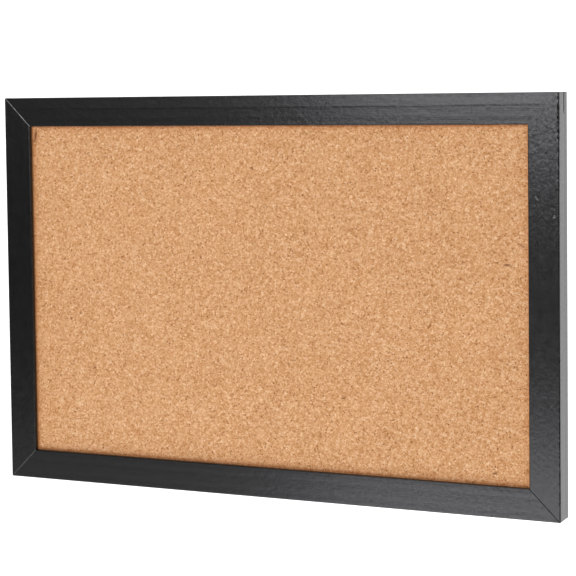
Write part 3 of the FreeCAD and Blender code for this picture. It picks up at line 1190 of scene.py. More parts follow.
        base, height, wave, length = self.relief.side
        side = skin.on(Zone.OUTER_SIDE)
        sink = self.face_relief(along, np.clip(skin.wide, self.section.front_arris, None))
        sink = sink * skin.on(*NEAR_FACE)
        streak = height * np.sin(2 * math.pi * depth / wave + self.seed)
        sink = sink + side * (base + streak * (1 + drift(along, length, self.seed + 5)))
        rounding, groove = self.mitre_cut(skin)
        chip = self.chips(skin)
        sink = sink + (rounding + groove) * skin.on(*PAINTED) + chip
        width, shut, gain = self.wear.line
        is_split = self.split > 0
        open_share = np.clip((self.split - along - self.length / 2) / self.wear.line_end, 0, 1)
        line = bell(depth - self.section.split_depth, width) * side
        sink = sink + line * (open_share * gain + shut * is_split)

        moved_in, moved_y = inward - across * sink, depth - out * sink
        points = np.stack([self.places(moved_in), moved_y, self.outer - moved_in], axis=-1).reshape(-1, 3)
        rows, columns = along.shape
        piece = mesh_object(self.node + "_moulding", points, quads(rows, columns))
        self._lay_out(piece, along, inward[0], depth[0])

        rub_glint = self.rub_glint(skin)
        chip_full_shade, groove_full_shade = self.wear.shade_and_dull
        plain, beyond_split = self.wear.side_shade
        # Painted shade: the open glue line, the outer side, deep chips, open mitres, the outer arris and the
        # blackened dents are darkened towards near black and lose their sheen.
        shade = line * open_share
        shade = shade + side * (plain + beyond_split * (depth > self.section.split_depth) * is_split)
        shade = shade + np.clip(chip / chip_full_shade, 0, 1)
        shade = shade + np.clip(groove / groove_full_shade, 0, 1) * skin.on(*PAINTED)
        shade = np.clip(shade + self.edge_shade(skin), 0, 1) * (1 - rub_glint)
        mark(piece, worn=rub_glint, bare=self.bare(skin), shade=shade, lumpy=self.coarseness(along))
        self._close_ends(piece, columns)
        piece.data.transform(Matrix.Rotation(math.radians(self.turn), 4, "Y"))
        return piece

    def _lay_out(
        self, piece: bpy.types.Object, along: np.ndarray, inward: np.ndarray, depth: np.ndarray
    ) -> None:
        """Writes a UV map in metres: along the member, and round its outline."""
        steps = np.hypot(np.diff(np.append(inward, inward[0])), np.diff(np.append(depth, depth[0])))
        reach = np.concatenate([[0.0], np.cumsum(steps)])
        layer = piece.data.uv_layers.new(name="along")
        offset = 0.61 * self.seed
        rows, columns = along.shape
        j, i = np.divmod(np.arange((rows - 1) * columns), columns)
        after = (i + 1) % columns
        u = np.stack([along[j, i], along[j, after], along[j + 1, after], along[j + 1, i]], axis=1) + offset
        v = np.stack([reach[i], reach[i + 1], reach[i + 1], reach[i]], axis=1)
        layer.data.foreach_set("uv", np.stack([u, v], axis=-1).astype(np.float32).ravel())

    def _close_ends(self, piece: bpy.types.Object, columns: int) -> None:
        """Closes both mitred ends with triangles."""
        work = bmesh.new()
        work.from_mesh(piece.data)
        work.verts.ensure_lookup_table()
        total = len(work.verts)
        caps = [
            work.faces.new([work.verts[i] for i in range(columns)]),
            work.faces.new([work.verts[total - 1 - i] for i in range(columns)]),
        ]
        bmesh.ops.triangulate(work, faces=caps)
        bmesh.ops.recalc_face_normals(work, faces=work.faces)
        work.to_mesh(piece.data)
        work.free()


@dataclass
class Frame:
    """The four members and what is driven into them."""

    paint: bpy.types.Material
    panel_clearance: float = 0.5 * MM

    def mitres(self) -> dict[str, Mitre]:
        """How each corner has closed."""
        return {
            # The last two numbers of each are the pale line at the mitre: coat scuffed through and a painted
            # highlight.
            "top_left": Mitre(0.16 * MM, 0.15 * MM, 1.0, 0.0),
            "top_right": Mitre(0.0, 0.12 * MM, 0.16, 0.12),
            "bottom_right": Mitre(0.26 * MM, 0.15 * MM, 0.03, 0.0),
            "bottom_left": Mitre(0.04 * MM, 0.15 * MM, 0.30, 0.08),
        }

    def members(self) -> list[FrameMember]:
        """The four members with their own marks."""
        low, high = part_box("top_rail")
        _, panel_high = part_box("cork_sheet")
        section = Moulding(
            front=low.y,
            face_width=high.z - low.z,
            solid_width=high.z - panel_high.z - self.panel_clearance,
            lip_back=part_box("cork_sheet")[0].y,
        )
        width, height = high.x - low.x, 2 * high.z
        corner = self.mitres()
        scuffs = (
            Nick(-77 * MM, 16.0 * MM, 4.2 * MM, 1.5 * MM, -38, 0.2 * MM),
            Nick(-64 * MM, 3.4 * MM, 1.6 * MM, 3.0 * MM, 0, 0.16 * MM),
            Nick(-46 * MM, 16.0 * MM, 1.2 * MM, 1.2 * MM, 0, 0.16 * MM, blackened=True),
        )
        return [
            FrameMember(
                "top_rail", section, width, height / 2, 0, corner["top_left"], corner["top_right"], True, 1,
                ridge=8.8 * MM, lumpy=(0.8, 0.55),
            ),
            FrameMember(
                "right_stile", section, height, width / 2, 90, corner["top_right"], corner["bottom_right"],
                False, 2, nicks=scuffs, chipped=46 * MM, split=15 * MM, lumpy=(1.2, 0.3), arris_shade=0.75,
            ),
            FrameMember(
                "bottom_rail", section, width, height / 2, 180, corner["bottom_right"], corner["bottom_left"],
                True, 3, lumpy=(0.6, 0.35),
            ),
            FrameMember(
                "left_stile", section, height, width / 2, 270, corner["bottom_left"], corner["top_left"],
                False, 4,
            ),
        ]

    def driven_into(self, member: str) -> list[str]:
        """The frame nodes that make holes in a member."""
        side = member.split("_")[0]
        nodes = [f"retaining_points_{side}"]
        if member.endswith("rail"):
            nodes += [f"v_nails_{side}_{hand}" for hand in ("left", "right")]
        else:
            nodes += [f"v_nails_{end}_{side}" for end in ("top", "bottom")] + [f"hanger_screw_{side}"]
        return nodes

    def cutter(self, member: str) -> bpy.types.Object:
        """One mesh of everything that is driven into a member, run out past its back."""
        work = bmesh.new()
        for node in self.driven_into(member):
            helper = copy_of_node("helper", node)
            if node.startswith("v_nails"):
                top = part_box(node)[1].y
                for vertex in helper.data.vertices:
                    if vertex.co.y > top - 0.01 * MM:
                        vertex.co.y = 1 * MM
            work.from_mesh(helper.data)
            remove(helper)
        mesh = bpy.data.meshes.new("cutter")
        work.to_mesh(mesh)
        work.free()
        made = bpy.data.objects.new("cutter", mesh)
        bpy.context.scene.collection.objects.link(made)
        return made

    def build(self) -> None:
        """Builds, cuts and hands over the four members."""
        for member in self.members():
            piece = member.build()
            tidy_mesh(piece, 40)
            cutter = self.cutter(member.node)
            tidy_mesh(cutter)
            carve(piece, cutter)
            tidy_mesh(piece, 40)
            dress(piece, self.paint)
            finish_piece(piece, "board", [member.node])


# ---------------------------------------------------------------- panel


@dataclass(frozen=True)
class BarkStreak:
    """A dark streak of bark in the cork.

    Attributes:
        x: Row x of its middle.
        z: Row z of its middle.
        length: Its length.
        width: Its width.
        angle: Its direction from +X, in degrees.
    """

    x: float
    z: float
    length: float
    width: float
    angle: float


@dataclass
class Panel:
    """The cork, the softboard that takes the pins, and the hardboard back."""

    cork: bpy.types.Material
    softboard: bpy.types.Material
    hardboard: bpy.types.Material
    pitch: float = 1.1 * MM
    granule: float = 1.6 * MM
    relief: float = 0.2 * MM
    # Reach of the painted shade beside the frame's lip.
    lip_shade_reach: float = 2.2 * MM
    warp_pitch: float = 2.5 * MM
    warp_reach: float = 1.6 * MM
    dome: float = 0.55
    dome_range: float = 1.5
    bark_waver: tuple[float, float] = (0.5 * MM, 2 * MM)
    bark_depth: float = 0.25 * MM
    streaks: tuple[BarkStreak, ...] = (
        BarkStreak(-199.6 * MM, 120 * MM, 11 * MM, 2.3 * MM, 84),
        BarkStreak(186 * MM, 29 * MM, 7 * MM, 1.3 * MM, -14),
        BarkStreak(197 * MM, 43 * MM, 4 * MM, 1.2 * MM, -20),
        BarkStreak(60 * MM, -72 * MM, 4 * MM, 1.4 * MM, 30),
        BarkStreak(-95 * MM, 44 * MM, 4 * MM, 1.2 * MM, 10),
        BarkStreak(-12 * MM, 96 * MM, 3.5 * MM, 1.4 * MM, -40),
        BarkStreak(128 * MM, -16 * MM, 3.5 * MM, 1.2 * MM, 65),
        BarkStreak(176 * MM, -119 * MM, 4 * MM, 1.5 * MM, 8),
        BarkStreak(-150 * MM, -60 * MM, 3.5 * MM, 1.3 * MM, 35),
    )

    def granule_tree(self) -> bpy.types.NodeTree:
        """The node tree that lays a sheet of pressed granules facing -Y."""
        tree, given = open_tree(
            "pressed_granules", Width="Float", Height="Float", Columns="Int", Rows="Int", Front="Float",
            Granule="Float", Relief="Float", Finish="Material",
        )
        sheet = add(
            tree,
            "GeometryNodeMeshGrid",
            {"Size X": given["Width"], "Size Y": given["Height"], "Vertices X": given["Columns"],
             "Vertices Y": given["Rows"]},
        )
        upright = add(tree, "GeometryNodeTransform", {"Geometry": sheet, "Rotation": (math.pi / 2, 0, 0)})
        place = add(tree, "GeometryNodeInputPosition").outputs[0]
        warp = add(tree, "ShaderNodeTexNoise", {"Vector": place, "Scale": 1 / self.warp_pitch, "Detail": 1.0})
        bent = add(
            tree, "ShaderNodeVectorMath", {0: warp.outputs[1], 1: (self.warp_reach,) * 3, 2: place},
            operation="MULTIPLY_ADD",
        )
        density = add(tree, "ShaderNodeMath", {0: 1.0, 1: given["Granule"]}, operation="DIVIDE")
        cell = add(tree, "ShaderNodeTexVoronoi", {"Vector": bent, "Scale": density, "Randomness": 1.0})
        level = add(tree, "FunctionNodeSeparateColor", {0: cell.outputs["Color"]}).outputs[1]
        domed = add(
            tree, "ShaderNodeMath", {0: cell.outputs["Distance"], 1: self.dome, 2: level},
            operation="MULTIPLY_ADD",
        )
        share = add(tree, "ShaderNodeMapRange", {"Value": domed, "From Max": self.dome_range})
        sunk = add(
            tree, "ShaderNodeMath", {0: share, 1: given["Relief"], 2: given["Front"]},
            operation="MULTIPLY_ADD",
        )
        offset = add(tree, "ShaderNodeCombineXYZ", {1: sunk})
        laid = add(tree, "GeometryNodeSetPosition", {"Geometry": upright, "Offset": offset})
        close_tree(tree, laid, given["Finish"])
        return tree

    def build_cork(self) -> bpy.types.Object:
        """Lays the granules, marks the bark and closes the sheet's edges and back."""
        low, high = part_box("cork_sheet")
        width, height = high.x - low.x, high.z - low.z
        piece = mesh_object("cork_surface", np.empty((0, 3)), [])
        run_tree(
            piece,
            self.granule_tree(),
            {
                "Width": width,
                "Height": height,
                "Columns": round(width / self.pitch) + 1,
                "Rows": round(height / self.pitch) + 1,
                "Front": low.y,
                "Granule": self.granule,
                "Relief": self.relief,
                "Finish": self.cork,
            },
        )
        self._mark_bark(piece)
        work = bmesh.new()
        work.from_mesh(piece.data)
        rim = [edge for edge in work.edges if edge.is_boundary]
        skirt = bmesh.ops.extrude_edge_only(work, edges=rim)["geom"]
        for vertex in (item for item in skirt if isinstance(item, bmesh.types.BMVert)):
            vertex.co.y = high.y
        back = [item for item in skirt if isinstance(item, bmesh.types.BMEdge)]
        bmesh.ops.contextual_create(work, geom=back)
        bmesh.ops.recalc_face_normals(work, faces=work.faces)
        work.to_mesh(piece.data)
        work.free()
        piece.data.shade_smooth()
        piece.data.set_sharp_from_angle(angle=math.radians(60))
        return piece

    def _mark_bark(self, piece: bpy.types.Object) -> None:
        """Sinks and marks the streaks of bark, and marks the painted shade beside the frame's lip."""
        mesh = piece.data
        points = np.zeros(len(mesh.vertices) * 3, np.float32)
        mesh.vertices.foreach_get("co", points)
        points = points.reshape(-1, 3)
        amount = np.zeros(len(points))
        for number, streak in enumerate(self.streaks):
            along, across = turned(points[:, 0] - streak.x, points[:, 2] - streak.z, streak.angle)
            across = across + self.bark_waver[0] * drift(along, self.bark_waver[1], number)
            reach = oval(along, across, streak.length, streak.width)
            amount = np.maximum(amount, np.clip(1.3 - reach, 0, 1))
        points[:, 1] += amount * self.bark_depth
        mesh.vertices.foreach_set("co", points.ravel())
        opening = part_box("top_rail")
        opening_x = opening[1].x - (opening[1].z - opening[0].z)
        to_side = opening_x - np.abs(points[:, 0])
        to_rail = opening[0].z - np.abs(points[:, 2])
        nearest = beyond(np.minimum(to_side, to_rail))
        mark(piece, bark=amount, edge=np.exp(-nearest / self.lip_shade_reach))

    def build(self) -> None:
        """Builds the cork and dresses the two boards behind it."""
        finish_piece(self.build_cork(), "board", ["cork_sheet"])
        dress(frame["nodes"]["fibreboard_core"], self.softboard)
        dress(frame["nodes"]["hardboard_back"], self.hardboard)


# ---------------------------------------------------------------- fasteners in rows


def row_tree() -> bpy.types.NodeTree:
    """The node tree that repeats a template along a straight row."""
    tree, given = open_tree(
        "row_of_pieces", Template="Object", Count="Int", First="Vector", Step="Vector", Turn="Rotation",
        Finish="Material",
    )
    line = add(
        tree, "GeometryNodeMeshLine",
        {"Count": given["Count"], "Start Location": given["First"], "Offset": given["Step"]},
    )
    template = add(tree, "GeometryNodeObjectInfo", {"Object": given["Template"]})
    placed = add(
        tree, "GeometryNodeInstanceOnPoints",
        {"Points": line, "Instance": template.outputs["Geometry"], "Rotation": given["Turn"]},
    )
    close_tree(tree, placed, given["Finish"])
    return tree


@dataclass(frozen=True)
class Row:
    """A straight row of one template.

    Attributes:
        name: The visual piece's name.
        node: The frame node that it stands for.
        slot: Its material slot in the record; not used.
        count: How many templates it has.
        first: Place of the first.
        step: From each to the next.
        turn: Turn of each about Y, in radians.
    """

    name: str
    node: str
    slot: str
    count: int
    first: Vector
    step: Vector
    turn: float

    def build(
        self, tree: bpy.types.NodeTree, template: bpy.types.Object, finish: bpy.types.Material
    ) -> None:
        """Repeats the template and hands the row over.

        Args:
            tree: The tree that repeats a template.
            template: What it repeats. It is removed afterwards.
            finish: The row's material.
        """
        piece = mesh_object(self.name, np.empty((0, 3)), [])
        sizes = {"Count": self.count, "First": tuple(self.first), "Step": tuple(self.step)}
        fixed = {"Template": template, "Turn": (0, self.turn, 0), "Finish": finish}
        run_tree(piece, tree, sizes | fixed)
        remove(template)
        tidy_mesh(piece)
        finish_piece(piece, "board", [self.node])


def bevelled_plate(
    name: str, outline: Sequence[tuple[float, float]], low: float, high: float, bevel: float
) -> bpy.types.Object:
    """A flat closed piece with softened edges.

    Args:
        name: Its name.
        outline: Points (x, z) in order.
        low: Its lower y.
        high: Its upper y.
        bevel: Width of the softened edge.

    Returns:
        The piece.
    """
    count = len(outline)
    points = np.array([(x, y, z) for y in (low, high) for x, z in outline])
    faces = [tuple(range(count)), tuple(range(2 * count - 1, count - 1, -1))]
    faces += [(i, (i + 1) % count, count + (i + 1) % count, count + i) for i in range(count)]
    made = mesh_object(name, points, faces)
    soften = made.modifiers.new("bevel", "BEVEL")
    soften.width = bevel
    soften.segments = 2
    soften.limit_method = "ANGLE"
    soften.angle_limit = math.radians(25)
    settle(made)
    tidy_mesh(made)
    return made


@dataclass
class RetainingPoints:
    """The flat steel points that hold the panel in its rabbet, in a row on each side."""

    steel: bpy.types.Material
    width: float = 5.5 * MM
    taper: float = 3.0 * MM
    chamfer: float = 1.2 * MM
    bevel: float = 0.08 * MM
    counts: dict[str, int] = field(default_factory=lambda: {"top": 4, "right": 3, "bottom": 4, "left": 3})
    turns: dict[str, int] = field(default_factory=lambda: {"top": 0, "right": 90, "bottom": 180, "left": 270})

    def template(self, length: float, gauge: float) -> bpy.types.Object:
        """One point with its tip towards +Z and its lower face on y = 0, standing on its tail."""
        half, cut = self.width / 2, self.width / 2 - self.chamfer
        outline = [(-cut, 0), (cut, 0), (half, self.chamfer), (half, length - self.taper), (0, length),
                   (-half, length - self.taper), (-half, self.chamfer)]
        return bevelled_plate("point_template", outline, 0, gauge, self.bevel)

    def build(self, tree: bpy.types.NodeTree) -> None:
        """Lays a row of points on each side.

        Args:
            tree: The tree that repeats a template.
        """
        for side, count in self.counts.items():
            node = "retaining_points_" + side
            low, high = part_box(node)
            long_side = side in ("top", "bottom")
            reach = (high.z - low.z) if long_side else (high.x - low.x)
            span = ((high.x - low.x) if long_side else (high.z - low.z)) - self.width
            template = self.template(reach, high.y - low.y)
            tail = {"top": low.z, "right": low.x, "bottom": -high.z, "left": -high.x}[side]
            turn = Matrix.Rotation(math.radians(self.turns[side]), 4, "Y")
            first = turn @ Vector((-span / 2, low.y, tail))
            step = turn.to_3x3() @ Vector((span / (count - 1), 0, 0))
            angle = math.radians(self.turns[side])
            row = Row(node + "_row", node, "zinc_plated_steel", count, first, step, angle)
            row.build(tree, template, self.steel)


@dataclass
class MitreNails:
    """The bent steel wedges that pull each mitre together, two to a corner."""

    steel: bpy.types.Material
    leg: float = 5.0 * MM
    gauge: float = 0.4 * MM
    half_angle: float = 40.0
    outer_margin: float = 3.0 * MM
    bevel: float = 0.06 * MM

    def template(self, height: float) -> bpy.types.Object:
        """One wedge, apex at the origin, opening towards +X, with a ground lower edge."""
        cosine, sine = circle(self.half_angle)
        reach, half = (self.leg * cosine, self.leg * sine), self.gauge / 2
        side = (half * sine, half * cosine)
        apex = half / sine
        upper = [(reach[0] - side[0], reach[1] + side[1]), (reach[0] + side[0], reach[1] - side[1])]
        lower = [(x, -z) for x, z in reversed(upper)]
        outline = [(-apex, 0)] + upper + [(apex, 0)] + lower
        return bevelled_plate("nail_template", outline, 0, height, self.bevel)

    def build(self, tree: bpy.types.NodeTree) -> None:
        """Sets two wedges in each corner.

        Args:
            tree: The tree that repeats a template.
        """
        board_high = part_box("top_rail")[1]
        for level, sign_z in (("top", 1), ("bottom", -1)):
            for hand, sign_x in (("left", -1), ("right", 1)):
                node = f"v_nails_{level}_{hand}"
                low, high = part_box(node)
                inward = Vector((-sign_x, 0, -sign_z)) / math.sqrt(2)
                corner = Vector((sign_x * board_high.x, low.y, sign_z * board_high.z))
                first = corner + inward * math.sqrt(2) * self.outer_margin
                depth_in = max(abs(corner.x - low.x), abs(corner.x - high.x))
                cosine, sine = circle(self.half_angle)
                spread = self.leg * (cosine + sine)
                edge = self.gauge / 2 * (cosine - sine)
                second = corner + inward * (math.sqrt(2) * depth_in - spread - abs(edge))
                angle = math.atan2(sign_z, -sign_x)
                pair = Row(node + "_pair", node, "spring_steel", 2, first, second - first, angle)
                pair.build(tree, self.template(high.y - low.y), self.steel)


# ---------------------------------------------------------------- hangers and bumpers


def turned_shape(
    name: str, profile: Sequence[tuple[float, float]], centre: Vector, segments: int
) -> bpy.types.Object:
    """A closed shape turned about an axis along Y.

    Args:
        name: Its name.
        profile: Radius and y, from one pole to the other; the two ends have no radius.
        centre: A point on the axis.
        segments: Faces round it.

    Returns:
        The shape.
    """
    points = []
    for radius, y in profile:
        for k in range(segments):
            angle = 2 * math.pi * k / segments
            points.append((centre.x + radius * math.cos(angle), y, centre.z + radius * math.sin(angle)))
    made = mesh_object(name, np.array(points), quads(len(profile), segments))
    tidy_mesh(made)
    return made


@dataclass
class Hanger:
    """One strap, its swinging D-ring and its screw.

    Attributes:
        hand: Left or right.
        zinc: Finish of the strap and screw.
        nickel: Finish of the ring.
    """

    hand: str
    zinc: bpy.types.Material
    nickel: bpy.types.Material
    wire: float = 1.1 * MM
    gauge: float = 0.8 * MM
    fold_gap: float = 0.1 * MM
    loop_bore: float = 1.2 * MM
    bar_half: float = 5.3 * MM
    bend: float = 1.8 * MM
    side: float = 2.0 * MM
    rest_clearance: float = 0.3 * MM
    thread_pitch: float = 1.5 * MM
    thread_height: float = 0.35 * MM
    recess: tuple[float, float, float] = (3.6 * MM, 0.85 * MM, 1.2 * MM)
    recess_taper: tuple[float, float] = (0.55, 1.15)
    last_bend: int = -40
    foot: float = 4.8 * MM
    pull: float = 4.0 * MM
    edge: float = 0.16 * MM
    hole: float = 1.7 * MM
    screw_core: float = 1.05 * MM
    screw_neck: float = 1.5 * MM
    screw_tip: float = 3.0 * MM
    dome_rise: float = 0.75 * MM

    @property
    def pivot(self) -> Vector:
        """The ring's pivot, from its joint."""
        joint = next(j for j in frame["joints"] if self.hand in j["name"])
        return Vector(joint["pos_m"])

    def strap_path(self, drop: float) -> list[tuple[float, float]]:
        """The strip's middle line as offsets (y, z) from the pivot, from tail to tail.

        Args:
            drop: Distance from the pivot down to the strap's end.

        Returns:
            The points, close enough together to look smooth.
        """
        turn_radius = self.loop_bore + self.gauge / 2
        rear = -turn_radius
        front = rear + self.gauge + self.fold_gap
        path = [(rear, -drop + drop * i / 26) for i in range(26)]
        bends = range(180, self.last_bend - 1, -10)
        path += [(turn_radius * cosine, turn_radius * sine) for cosine, sine in map(circle, bends)]
        start = Vector(path[-1])
        cosine, sine = circle(self.last_bend)
        heading, down = Vector((sine, -cosine)) * self.pull, Vector((0, -self.pull))
        foot = Vector((front, -self.foot))
        for i in range(1, 11):
            t = i / 10
            blend = (2 * t**3 - 3 * t**2 + 1, t**3 - 2 * t**2 + t, -2 * t**3 + 3 * t**2, t**3 - t**2)
            point = start * blend[0] + heading * blend[1] + foot * blend[2] + down * blend[3]
            path.append((point.x, point.y))
        path += [(front, foot.y + (-drop - foot.y) * i / 20) for i in range(1, 21)]
        return path

    def build_strap(self) -> bpy.types.Object:
        """Folds the strip round the pivot, rounds its tongue and punches the screw hole."""
        low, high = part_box("hanger_strap_" + self.hand)
        pivot, half = self.pivot, (high.x - low.x) / 2
        drop = pivot.z - low.z
        hole = -(drop - half)
        path = self.strap_path(drop - 0.02 * MM)
        soft, thick = self.edge, self.gauge / 2
        points = []
        for index, (y, z) in enumerate(path):
            before, after = path[max(index - 1, 0)], path[min(index + 1, len(path) - 1)]
            heading = Vector((after[0] - before[0], after[1] - before[1])).normalized()
            out = Vector((-heading.y, heading.x))
            wide = half if z > hole else math.sqrt(max(half**2 - (z - hole) ** 2, (0.5 * MM) ** 2))
            corners = ((1, 1, 0), (-1, 1, 90), (-1, -1, 180), (1, -1, 270))
            for sign_x, sign_t, first in corners:
                for step in (0, 45, 90):
                    cosine, sine = circle(first + step)
                    x = sign_x * (wide - soft) + soft * cosine
                    t = sign_t * (thick - soft) + soft * sine
                    points.append((pivot.x + x, pivot.y + y + out.x * t, pivot.z + z + out.y * t))
        ring = len(points) // len(path)
        faces = quads(len(path), ring)
        faces += [tuple(range(ring)), tuple(range(len(points) - 1, len(points) - 1 - ring, -1))]
        strap = mesh_object(f"hanger_strap_{self.hand}_strip", np.array(points), faces)
        tidy_mesh(strap)
        ends = (-1 * MM, 4 * MM)
        bore = ((0, ends[0]), (self.hole, ends[0]), (self.hole, ends[1]), (0, ends[1]))
        punch = turned_shape("punch", bore, Vector((pivot.x, 0, pivot.z + hole)), 40)
        carve(strap, punch)
        tidy_mesh(strap)
        return strap

    def ring_path(self) -> list[tuple[float, float]]:
        """The wire's middle line as (x, z) from the pivot, hanging straight down."""
        end = self.bar_half + self.bend
        centre = -(self.bend + self.side)
        right = [(self.bar_half * i / 6, 0.0) for i in range(7)]
        bend = map(circle, range(15, 91, 15))
        right += [(self.bar_half + self.bend * sine, self.bend * (cosine - 1)) for cosine, sine in bend]
        right += [(end, -self.bend - self.side * i / 3) for i in (1, 2)]
        right += [(end * cosine, centre - end * sine) for cosine, sine in map(circle, range(0, 90, 5))]
        bottom = [(0.0, centre - end)]
        return right + bottom + [(-x, z) for x, z in reversed(right[1:])]

    def build_ring(self, tree: bpy.types.NodeTree) -> bpy.types.Object:
        """Bends the wire and hangs it at its resting lean.

        Args:
            tree: The tree that gives a closed path a round section.

        Returns:
            The ring.
        """
        path = self.ring_path()
        low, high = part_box("hanger_strap_" + self.hand)
        half = (high.x - low.x) / 2
        end = self.bar_half + self.bend
        crossing = self.bend + self.side + math.sqrt(end**2 - half**2)
        strap_face = 2 * self.gauge + self.fold_gap
        rise = strap_face + self.rest_clearance + self.wire - (self.loop_bore + self.gauge)
        lean = Matrix.Rotation(math.asin(rise / crossing), 4, "X")
        ring = mesh_object(f"hanger_ring_{self.hand}_wire", np.array([(x, 0, z) for x, z in path]), [])
        count = len(path)
        ring.data.clear_geometry()
        ring.data.from_pydata([(x, 0, z) for x, z in path], [(i, (i + 1) % count) for i in range(count)], [])
        ring.data.transform(Matrix.Translation(self.pivot) @ lean)
        run_tree(ring, tree, {"Wire": self.wire, "Finish": self.nickel})
        tidy_mesh(ring, 60)
        return ring

    def build_screw(self) -> bpy.types.Object:
        """Turns the head and shank, runs the thread round it and presses the cross recess."""
        low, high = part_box("hanger_screw_" + self.hand)
        centre = (low + high) / 2
        radius = (high.x - low.x) / 2
        seat = 2 * self.gauge + self.fold_gap
        top = high.y
        core, tip = self.screw_core, self.screw_tip
        shank = seat - self.screw_neck
        dome = map(circle, range(15, 76, 12))
        profile = [(0.0, top)]
        profile += [(radius * sine, top - self.dome_rise * (1 - cosine)) for cosine, sine in dome]
        profile += [
            (radius - 0.05 * MM, top - 0.95 * MM), (radius, top - 1.3 * MM), (radius, seat + 0.12 * MM),
            (radius - 0.12 * MM, seat), (core + 0.45 * MM, seat), (core + 0.4 * MM, shank),
        ]
        for i in range(1, int((shank - low.y) / (self.thread_pitch / 10))):
            y = shank - i * self.thread_pitch / 10
            profile.append((core * min(1.0, (y - low.y) / tip), y))
        profile.append((0.0, low.y))
        screw = turned_shape(f"hanger_screw_{self.hand}_turned", profile, centre, 36)
        for vertex in screw.data.vertices:
            y = vertex.co.y
            if low.y + 0.3 * MM < y < shank - 0.3 * MM:
                out = Vector((vertex.co.x - centre.x, 0, vertex.co.z - centre.z))
                phase = (y / self.thread_pitch - math.atan2(out.z, out.x) / (2 * math.pi)) % 1
                crest = max(0.0, 1 - abs(phase - 0.5) * 3.2) * self.thread_height
                crest *= min(1.0, (y - low.y) / tip)
                vertex.co += out.normalized() * crest
        span, width, depth = self.recess
        cross = bmesh.new()
        for size in ((span, width), (width, span)):
            corner = bmesh.ops.create_cube(cross, size=1.0)["verts"]
            for vertex in corner:
                narrow = self.recess_taper[0] if vertex.co.y < 0 else self.recess_taper[1]
                vertex.co = Vector((
                    centre.x + vertex.co.x * size[0] * narrow,
                    top + (0.5 * MM if vertex.co.y > 0 else -depth),
                    centre.z + vertex.co.z * size[1] * narrow,
                ))
        for shape in self._separate(cross):
            carve(screw, shape)
        tidy_mesh(screw, 30)
        return screw

    def _separate(self, work: bmesh.types.BMesh) -> list[bpy.types.Object]:
        """Makes one object from each of two eight-cornered boxes."""
        work.verts.ensure_lookup_table()
        shapes = []
        for first in (0, 8):
            index = {work.verts[first + i]: i for i in range(8)}
            faces = [[index[v] for v in face.verts] for face in work.faces if face.verts[0] in index]
            shape = mesh_object("recess", np.array([v.co for v in index]), faces)
            tidy_mesh(shape)
            shapes.append(shape)
        work.free()
        return shapes

    def build(self, tree: bpy.types.NodeTree) -> None:
        """Builds the three pieces and hands them over.

        Args:
            tree: The tree that gives a closed path a round section.
        """
        strap = self.build_strap()
        dress(strap, self.zinc)
        finish_piece(strap, "board", ["hanger_strap_" + self.hand])
        screw = self.build_screw()
        dress(screw, self.zinc)
        finish_piece(screw, "board", ["hanger_screw_" + self.hand])
        ring = self.build_ring(tree)
        finish_piece(ring, "ring_" + self.hand, ["hanger_ring_" + self.hand])


def wire_tree() -> bpy.types.NodeTree:
    """The node tree that gives a path of edges a round section."""
    tree, given = open_tree("round_wire", Geometry="Geometry", Wire="Float", Finish="Material")
    path = add(tree, "GeometryNodeMeshToCurve", {"Mesh": given["Geometry"]})
    section = add(tree, "GeometryNodeCurvePrimitiveCircle", {"Resolution": 20, "Radius": given["Wire"]})
    swept = add(tree, "GeometryNodeCurveToMesh", {"Curve": path, "Profile Curve": section})
    close_tree(tree, swept, given["Finish"])
    return tree


@dataclass
class WallBumper:
    """A rubber foot: a low dome with a moulded rim, a dimpled top and a film of glue under it."""

    hand: str
    rubber: bpy.types.Material
    flat_share: float = 0.7
    dome_share: float = 0.55
    draft: float = 0.2 * MM
    dimple: float = 0.12 * MM

    def build(self) -> None:
        """Turns the dome and hands it over."""
        low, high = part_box("wall_bumper_" + self.hand)
        radius, height = (high.x - low.x) / 2, high.y - low.y
        flat, wall = radius * self.flat_share, radius - self.draft
        floor = high.y - self.dimple
        profile = [(0.0, floor), (0.5 * MM, floor), (0.8 * MM, high.y), (flat, high.y)]
        for cosine, sine in map(circle, range(15, 91, 15)):
            profile.append((flat + (wall - flat) * sine, high.y - height * self.dome_share * (1 - cosine)))
        profile += [(wall, low.y + 0.55 * MM), (radius, low.y + 0.45 * MM), (radius, low.y), (0.0, low.y)]
        bumper = turned_shape(f"wall_bumper_{self.hand}_dome", profile, (low + high) / 2, 48)
        dress(bumper, self.rubber)
        finish_piece(bumper, "board", ["wall_bumper_" + self.hand])


# ---------------------------------------------------------------- studio


def direction(azimuth: float, elevation: float) -> Vector:
    """Unit vector towards a place round the board, both angles in degrees."""
    turn, rise = math.radians(azimuth), math.radians(elevation)
    return Vector((math.sin(turn) * math.cos(rise), -math.cos(turn) * math.cos(rise), math.sin(rise)))


@dataclass(frozen=True)
class Softbox:
    """A soft rectangular light that faces the board.

    Attributes:
        name: Its name.
        azimuth: Degrees round from straight in front, positive to the right.
        elevation: Degrees above the board's middle.
        distance: From the board's middle.
        width: Its width.
        height: Its height.
        radiance: How bright its face is, where 1 shows as white.
    """

    name: str
    azimuth: float
    elevation: float
    distance: float
    width: float
    height: float
    radiance: float

    def build(self) -> None:
        """Places the light. It isn't seen by the camera itself."""
        data = bpy.data.lights.new(self.name, "AREA")
        data.shape = "RECTANGLE"
        data.size, data.size_y = self.width, self.height
        data.energy = self.radiance * math.pi * self.width * self.height
        light = bpy.data.objects.new(self.name, data)
        away = direction(self.azimuth, self.elevation)
        light.location = away * self.distance
        light.rotation_mode = "QUATERNION"
        light.rotation_quaternion = away.to_track_quat("Z", "Y")
        light.visible_camera = False
        bpy.context.scene.collection.objects.link(light)


